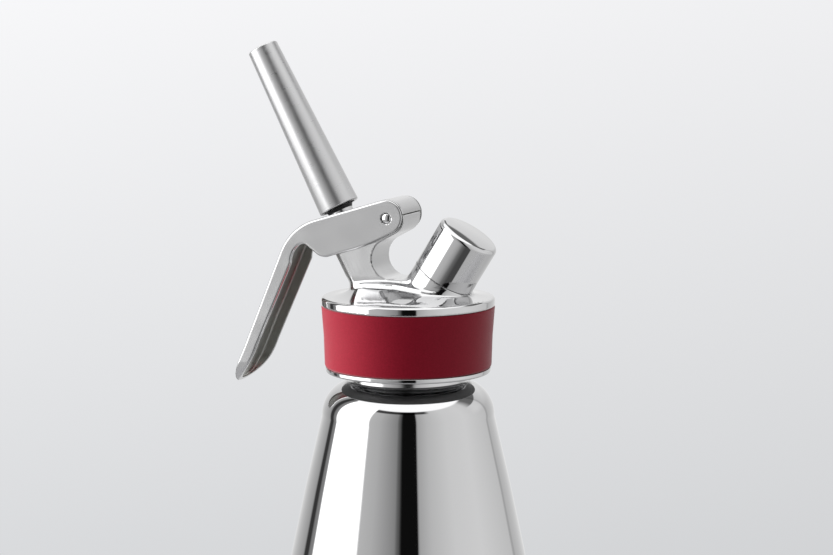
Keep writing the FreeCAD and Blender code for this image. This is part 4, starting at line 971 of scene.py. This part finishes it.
def lever_field(x, y, z):
    """The lever: the side outline and the strip with rounded edges, less the channel, the web's hole round
    the valve and the pin's hole, plus the cams that push the valve. Round the tail a groove behind each
    cheek's rim takes depth * exp(-(distance / spread) ** 2) off the outline."""
    side = outline_distance(lever_outline, x, z)
    off_groove = (abs(y) - (groove_outer + groove_inner) / 2) / groove_spread
    on_tail = np.clip((x - pivot[0] + groove_foot) / groove_run, 0, 1)
    side = side + groove_depth * np.exp(-off_groove ** 2) * on_tail
    edge = np.clip((z - tip_middle + lever_half_width) / edge_run, least_edge, 1) * lever_edge
    blank = both(side, strip(y, z, lever_half_width), edge)
    height, off_axis = lean(valve_foot, up_valve, over_valve, x, z)
    shifted = off_axis - np.clip(off_axis, 0, web_hole_stretch)
    hole = np.maximum(np.hypot(shifted, y) - web_hole_radius, -web_hole_depth - height)
    from_pin = np.hypot(x - pivot[0], z - pivot[1])
    sink = np.maximum(from_pin - countersink_radius, lever_half_width - countersink_depth - abs(y))
    shell = both(blank, -np.minimum(hollow_field(x, y, z), hole), web_edge)
    shell = both(shell, -np.minimum(from_pin - hole_radius, sink), hole_edge)
    from_cam = np.hypot(x - cam_middle[0], z - cam_middle[1])
    cam_inner, cam_outer = lever_half_width - lever_wall + 0.1 - cam_reach, lever_half_width - 0.5
    cam_ends = np.maximum(cam_inner - abs(y), abs(y) - cam_outer)
    return either(shell, np.maximum(from_cam - cam_radius, cam_ends), cam_fillet)


lever = cast_skin("lever_casting", lever_field, (-76.5, -11.0, tip_middle - 11.0),
                  (2.6, 11.0, rim_top + 39.6), lever_cell)
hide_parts("lever")
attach(lever, "lever")
corners = np.empty(len(lever.data.vertices) * 3)
lever.data.vertices.foreach_get("co", corners)
x, y, z = corners.reshape(-1, 3).T / MM
depth_inside = -hollow_field(x, y, z)
inside = lever.data.attributes.new("inside_channel", "FLOAT", "POINT")
inside.data.foreach_set("value", np.clip((depth_inside + inside_start) / inside_run, 0, 1))

# The attribute is 1 on the channel's walls and 0 on the satin outside. The as-cast inside is rough, and its
# colour is darker as painted shade in the channel.
# A fine shallow groove runs round the tail behind each cheek's rim, and the shadow in it is painted black.
lever_steel, tree = material("satin_cast_steel")
in_channel = wire(tree, "Attribute", out="Fac", attribute_name="inside_channel")
sideways = math_node(tree, "ABSOLUTE", own(tree, "Y"))
# The groove's share is where the black painted shadow and a higher roughness go.
groove = between(tree, own(tree, "X"), (pivot[0] - groove_foot) * MM, (pivot[0] - groove_start) * MM, 0, 1)
for edge, start, end in ((groove_inner, 0, 1), (groove_outer, 1, 0)):
    low, high = (edge - groove_blend) * MM, (edge + groove_blend) * MM
    groove = math_node(tree, "MULTIPLY", groove, between(tree, sideways, low, high, start, end))
rough_share = math_node(tree, "MAXIMUM", in_channel, groove)
lever_rough = mix(tree, rough_share, clouded(tree, 130, 0.11, 0.165), 0.36)
# Painted shade: the channel's inside gets a darker colour than the outside.
lever_colour = mix_colours(tree, in_channel, (0.62, 0.62, 0.625, 1), (0.47, 0.475, 0.45, 1))
# Painted shadow: near black in the groove.
lever_colour = mix_colours(tree, groove, lever_colour, (0.02, 0.02, 0.02, 1))
surface(tree, lever_colour, lever_rough, relief(tree, noise(tree, 1400, 3), 2e-6))
lever.data.materials.append(lever_steel)

# ------------------------ valve
# The valve hangs on its stem: a tube with a foot and a silicone seal below, the spring round it, and the
# tip adapter on top, a turned piece with a flange for the cams, a black seal and a thread for the nozzle.
stem_radius, stem_top = 4.0, 8.0
flange_high, flange_low, adapter_flange, flange_chamfer = -6.8, -8.8, 8.2, 0.4
adapter_neck, adapter_root, adapter_top, adapter_bore = 4.8, 5.5, 10.0, 3.2
tip_thread_pitch, tip_thread_depth = 1.25, 0.5
adapter = lathe("tip_adapter_steel", [
    (stem_radius, flange_low),
    (adapter_flange - flange_chamfer, flange_low),
    (adapter_flange, flange_low + flange_chamfer),
    (adapter_flange, flange_high - flange_chamfer),
    (adapter_flange - flange_chamfer, flange_high),
    (adapter_neck, flange_high),
    (adapter_neck, 0.4),
    (adapter_root, 0.8),
    (adapter_root, adapter_top - 0.6),
    (adapter_root - 0.6, adapter_top),
    (adapter_bore, adapter_top),
    (adapter_bore, stem_top),
    (stem_radius, stem_top)], valve_place, 128,
    thread=(adapter_root, tip_thread_pitch, tip_thread_depth, 1))
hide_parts("tip_adapter")
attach(adapter, "valve")
valve_steel = turned_steel("turned_valve_steel", 0.18, 2e-6, valve_place)
adapter.data.materials.append(valve_steel)
dress("valve_stem", valve_steel)
dress("valve_seal", gasket_silicone)

seal_low, seal_high, seal_foot_radius, seal_top_radius = -1.7, -0.1, 4.95, 5.45
tip_seal = lathe("tip_seal_ring", [
    (adapter_neck, seal_low),
    (seal_foot_radius - 0.3, seal_low),
    (seal_foot_radius, seal_low + 0.3, 0.3),
    (seal_top_radius, seal_high - 0.3),
    (seal_top_radius - 0.3, seal_high, 0.3),
    (adapter_neck, seal_high)], valve_place, 96)
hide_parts("tip_seal")
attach(tip_seal, "valve")
tip_seal.data.materials.append(black_rubber("tip_seal_rubber", 0.45))

spring_radius, spring_wire, spring_turns, spring_low, spring_high = 5.9, 0.45, 4.5, -20.7, -9.35
spring_steps, wire_sides = 217, 12
turn = np.linspace(0, 2 * np.pi * spring_turns, spring_steps)[:, None]
round_wire = np.linspace(0, 2 * np.pi, wire_sides, endpoint=False)[None, :]
reach = spring_radius + spring_wire * np.cos(round_wire)
climb = spring_low + (spring_high - spring_low) * turn / turn[-1] + spring_wire * np.sin(round_wire)
coil = stand(np.stack([reach * np.cos(turn), reach * np.sin(turn), climb], -1), valve_place) * MM
ring = np.arange(spring_steps * wire_sides).reshape(spring_steps, wire_sides)
sides = np.stack([ring[:-1], ring[1:], np.roll(ring[1:], -1, 1), np.roll(ring[:-1], -1, 1)], -1)
faces = sides.reshape(-1, 4).tolist() + [ring[0].tolist(), ring[-1, ::-1].tolist()]
spring = mesh_piece("valve_spring_wire", coil.reshape(-1, 3), faces, math.radians(50))
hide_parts("valve_spring")
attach(spring, "head")
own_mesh(spring)
spring_steel, tree = material("drawn_spring_steel")
spring_rough = clouded(tree, 500, 0.22, 0.34, detail=3)
surface(tree, (0.50, 0.50, 0.52), spring_rough, relief(tree, noise(tree, 3000, 2), 3e-6))
spring.data.materials.append(spring_steel)

# ------------------------ nozzle
# The nozzle is a slim tube drawn to a taper and brushed all over. It screws onto the tip adapter.
nozzle_length, nozzle_base, nozzle_tip, nozzle_bore, nozzle_round = 70.4, 8.15, 6.1, 4.6, 0.5
nozzle_socket, nozzle_socket_depth = 6.6, 12.0
nozzle = lathe("nozzle_tube", [
    (nozzle_socket, 0),
    (nozzle_base - nozzle_round, 0),
    (nozzle_base, nozzle_round, nozzle_round),
    (nozzle_tip, nozzle_length - nozzle_round),
    (nozzle_tip - nozzle_round, nozzle_length, nozzle_round),
    (nozzle_bore, nozzle_length),
    (nozzle_bore, nozzle_socket_depth),
    (nozzle_socket, nozzle_socket_depth),
    (nozzle_socket + tip_thread_depth, nozzle_socket_depth - 0.5),
    (nozzle_socket + tip_thread_depth, 0.8),
    (nozzle_socket, 0.3)], valve_place, 160,
    thread=(nozzle_socket + tip_thread_depth, tip_thread_pitch, tip_thread_depth, -1))
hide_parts("nozzle")
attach(nozzle, "nozzle")
nozzle_steel, tree = material("brushed_nozzle_steel")
hairlines = noise(tree, 900, 4, **about(valve_place), Scale=(3.0, 3.0, 0.35))
nozzle_rough = between(tree, hairlines, 0.3, 0.7, 0.27, 0.38)
brushed = relief(tree, noise(tree, 1600, 3), 4e-6, relief(tree, hairlines, 1.6e-5))
surface(tree, (0.64, 0.64, 0.645), nozzle_rough, brushed)
nozzle.data.materials.append(nozzle_steel)

# ------------------------ charger cap
# The cap over the charger port is a cup of polished steel with a fine inner thread, on the boss's seam.
cap_seam, cap_length, cap_wall, cap_round, cap_edge = 0.12, 20.9, 2.0, 1.9, 0.1
cap_bore, crown_slope = socket_seat + 0.3, math.radians(7.0)
crown_radius = port_radius - cap_round * (1 - math.sin(crown_slope))
crown_foot = cap_length - crown_radius * math.tan(crown_slope / 2)
cap = lathe("port_cap", [
    (cap_bore, cap_seam),
    (port_radius - cap_edge, cap_seam),
    (port_radius, cap_seam + cap_edge),
    (port_radius, crown_foot - cap_round * math.cos(crown_slope)),
    (crown_radius, crown_foot, cap_round),
    (0, cap_length, crown_radius / math.sin(crown_slope)),
    (0, cap_length - cap_wall),
    (cap_bore, cap_length - cap_wall),
    (cap_bore, cap_length - cap_wall - 3.5),
    (cap_bore + cap_thread_depth, cap_length - cap_wall - 4),
    (cap_bore + cap_thread_depth, cap_seam + 1),
    (cap_bore, cap_seam + 0.5)], port_place, 192,
    thread=(cap_bore + cap_thread_depth, cap_thread_pitch, cap_thread_depth, -1))
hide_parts("charger_cap")
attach(cap, "cap")
cap.data.materials.append(polished_steel("cap_mirror_steel", 45, 2e-6, 0.045))
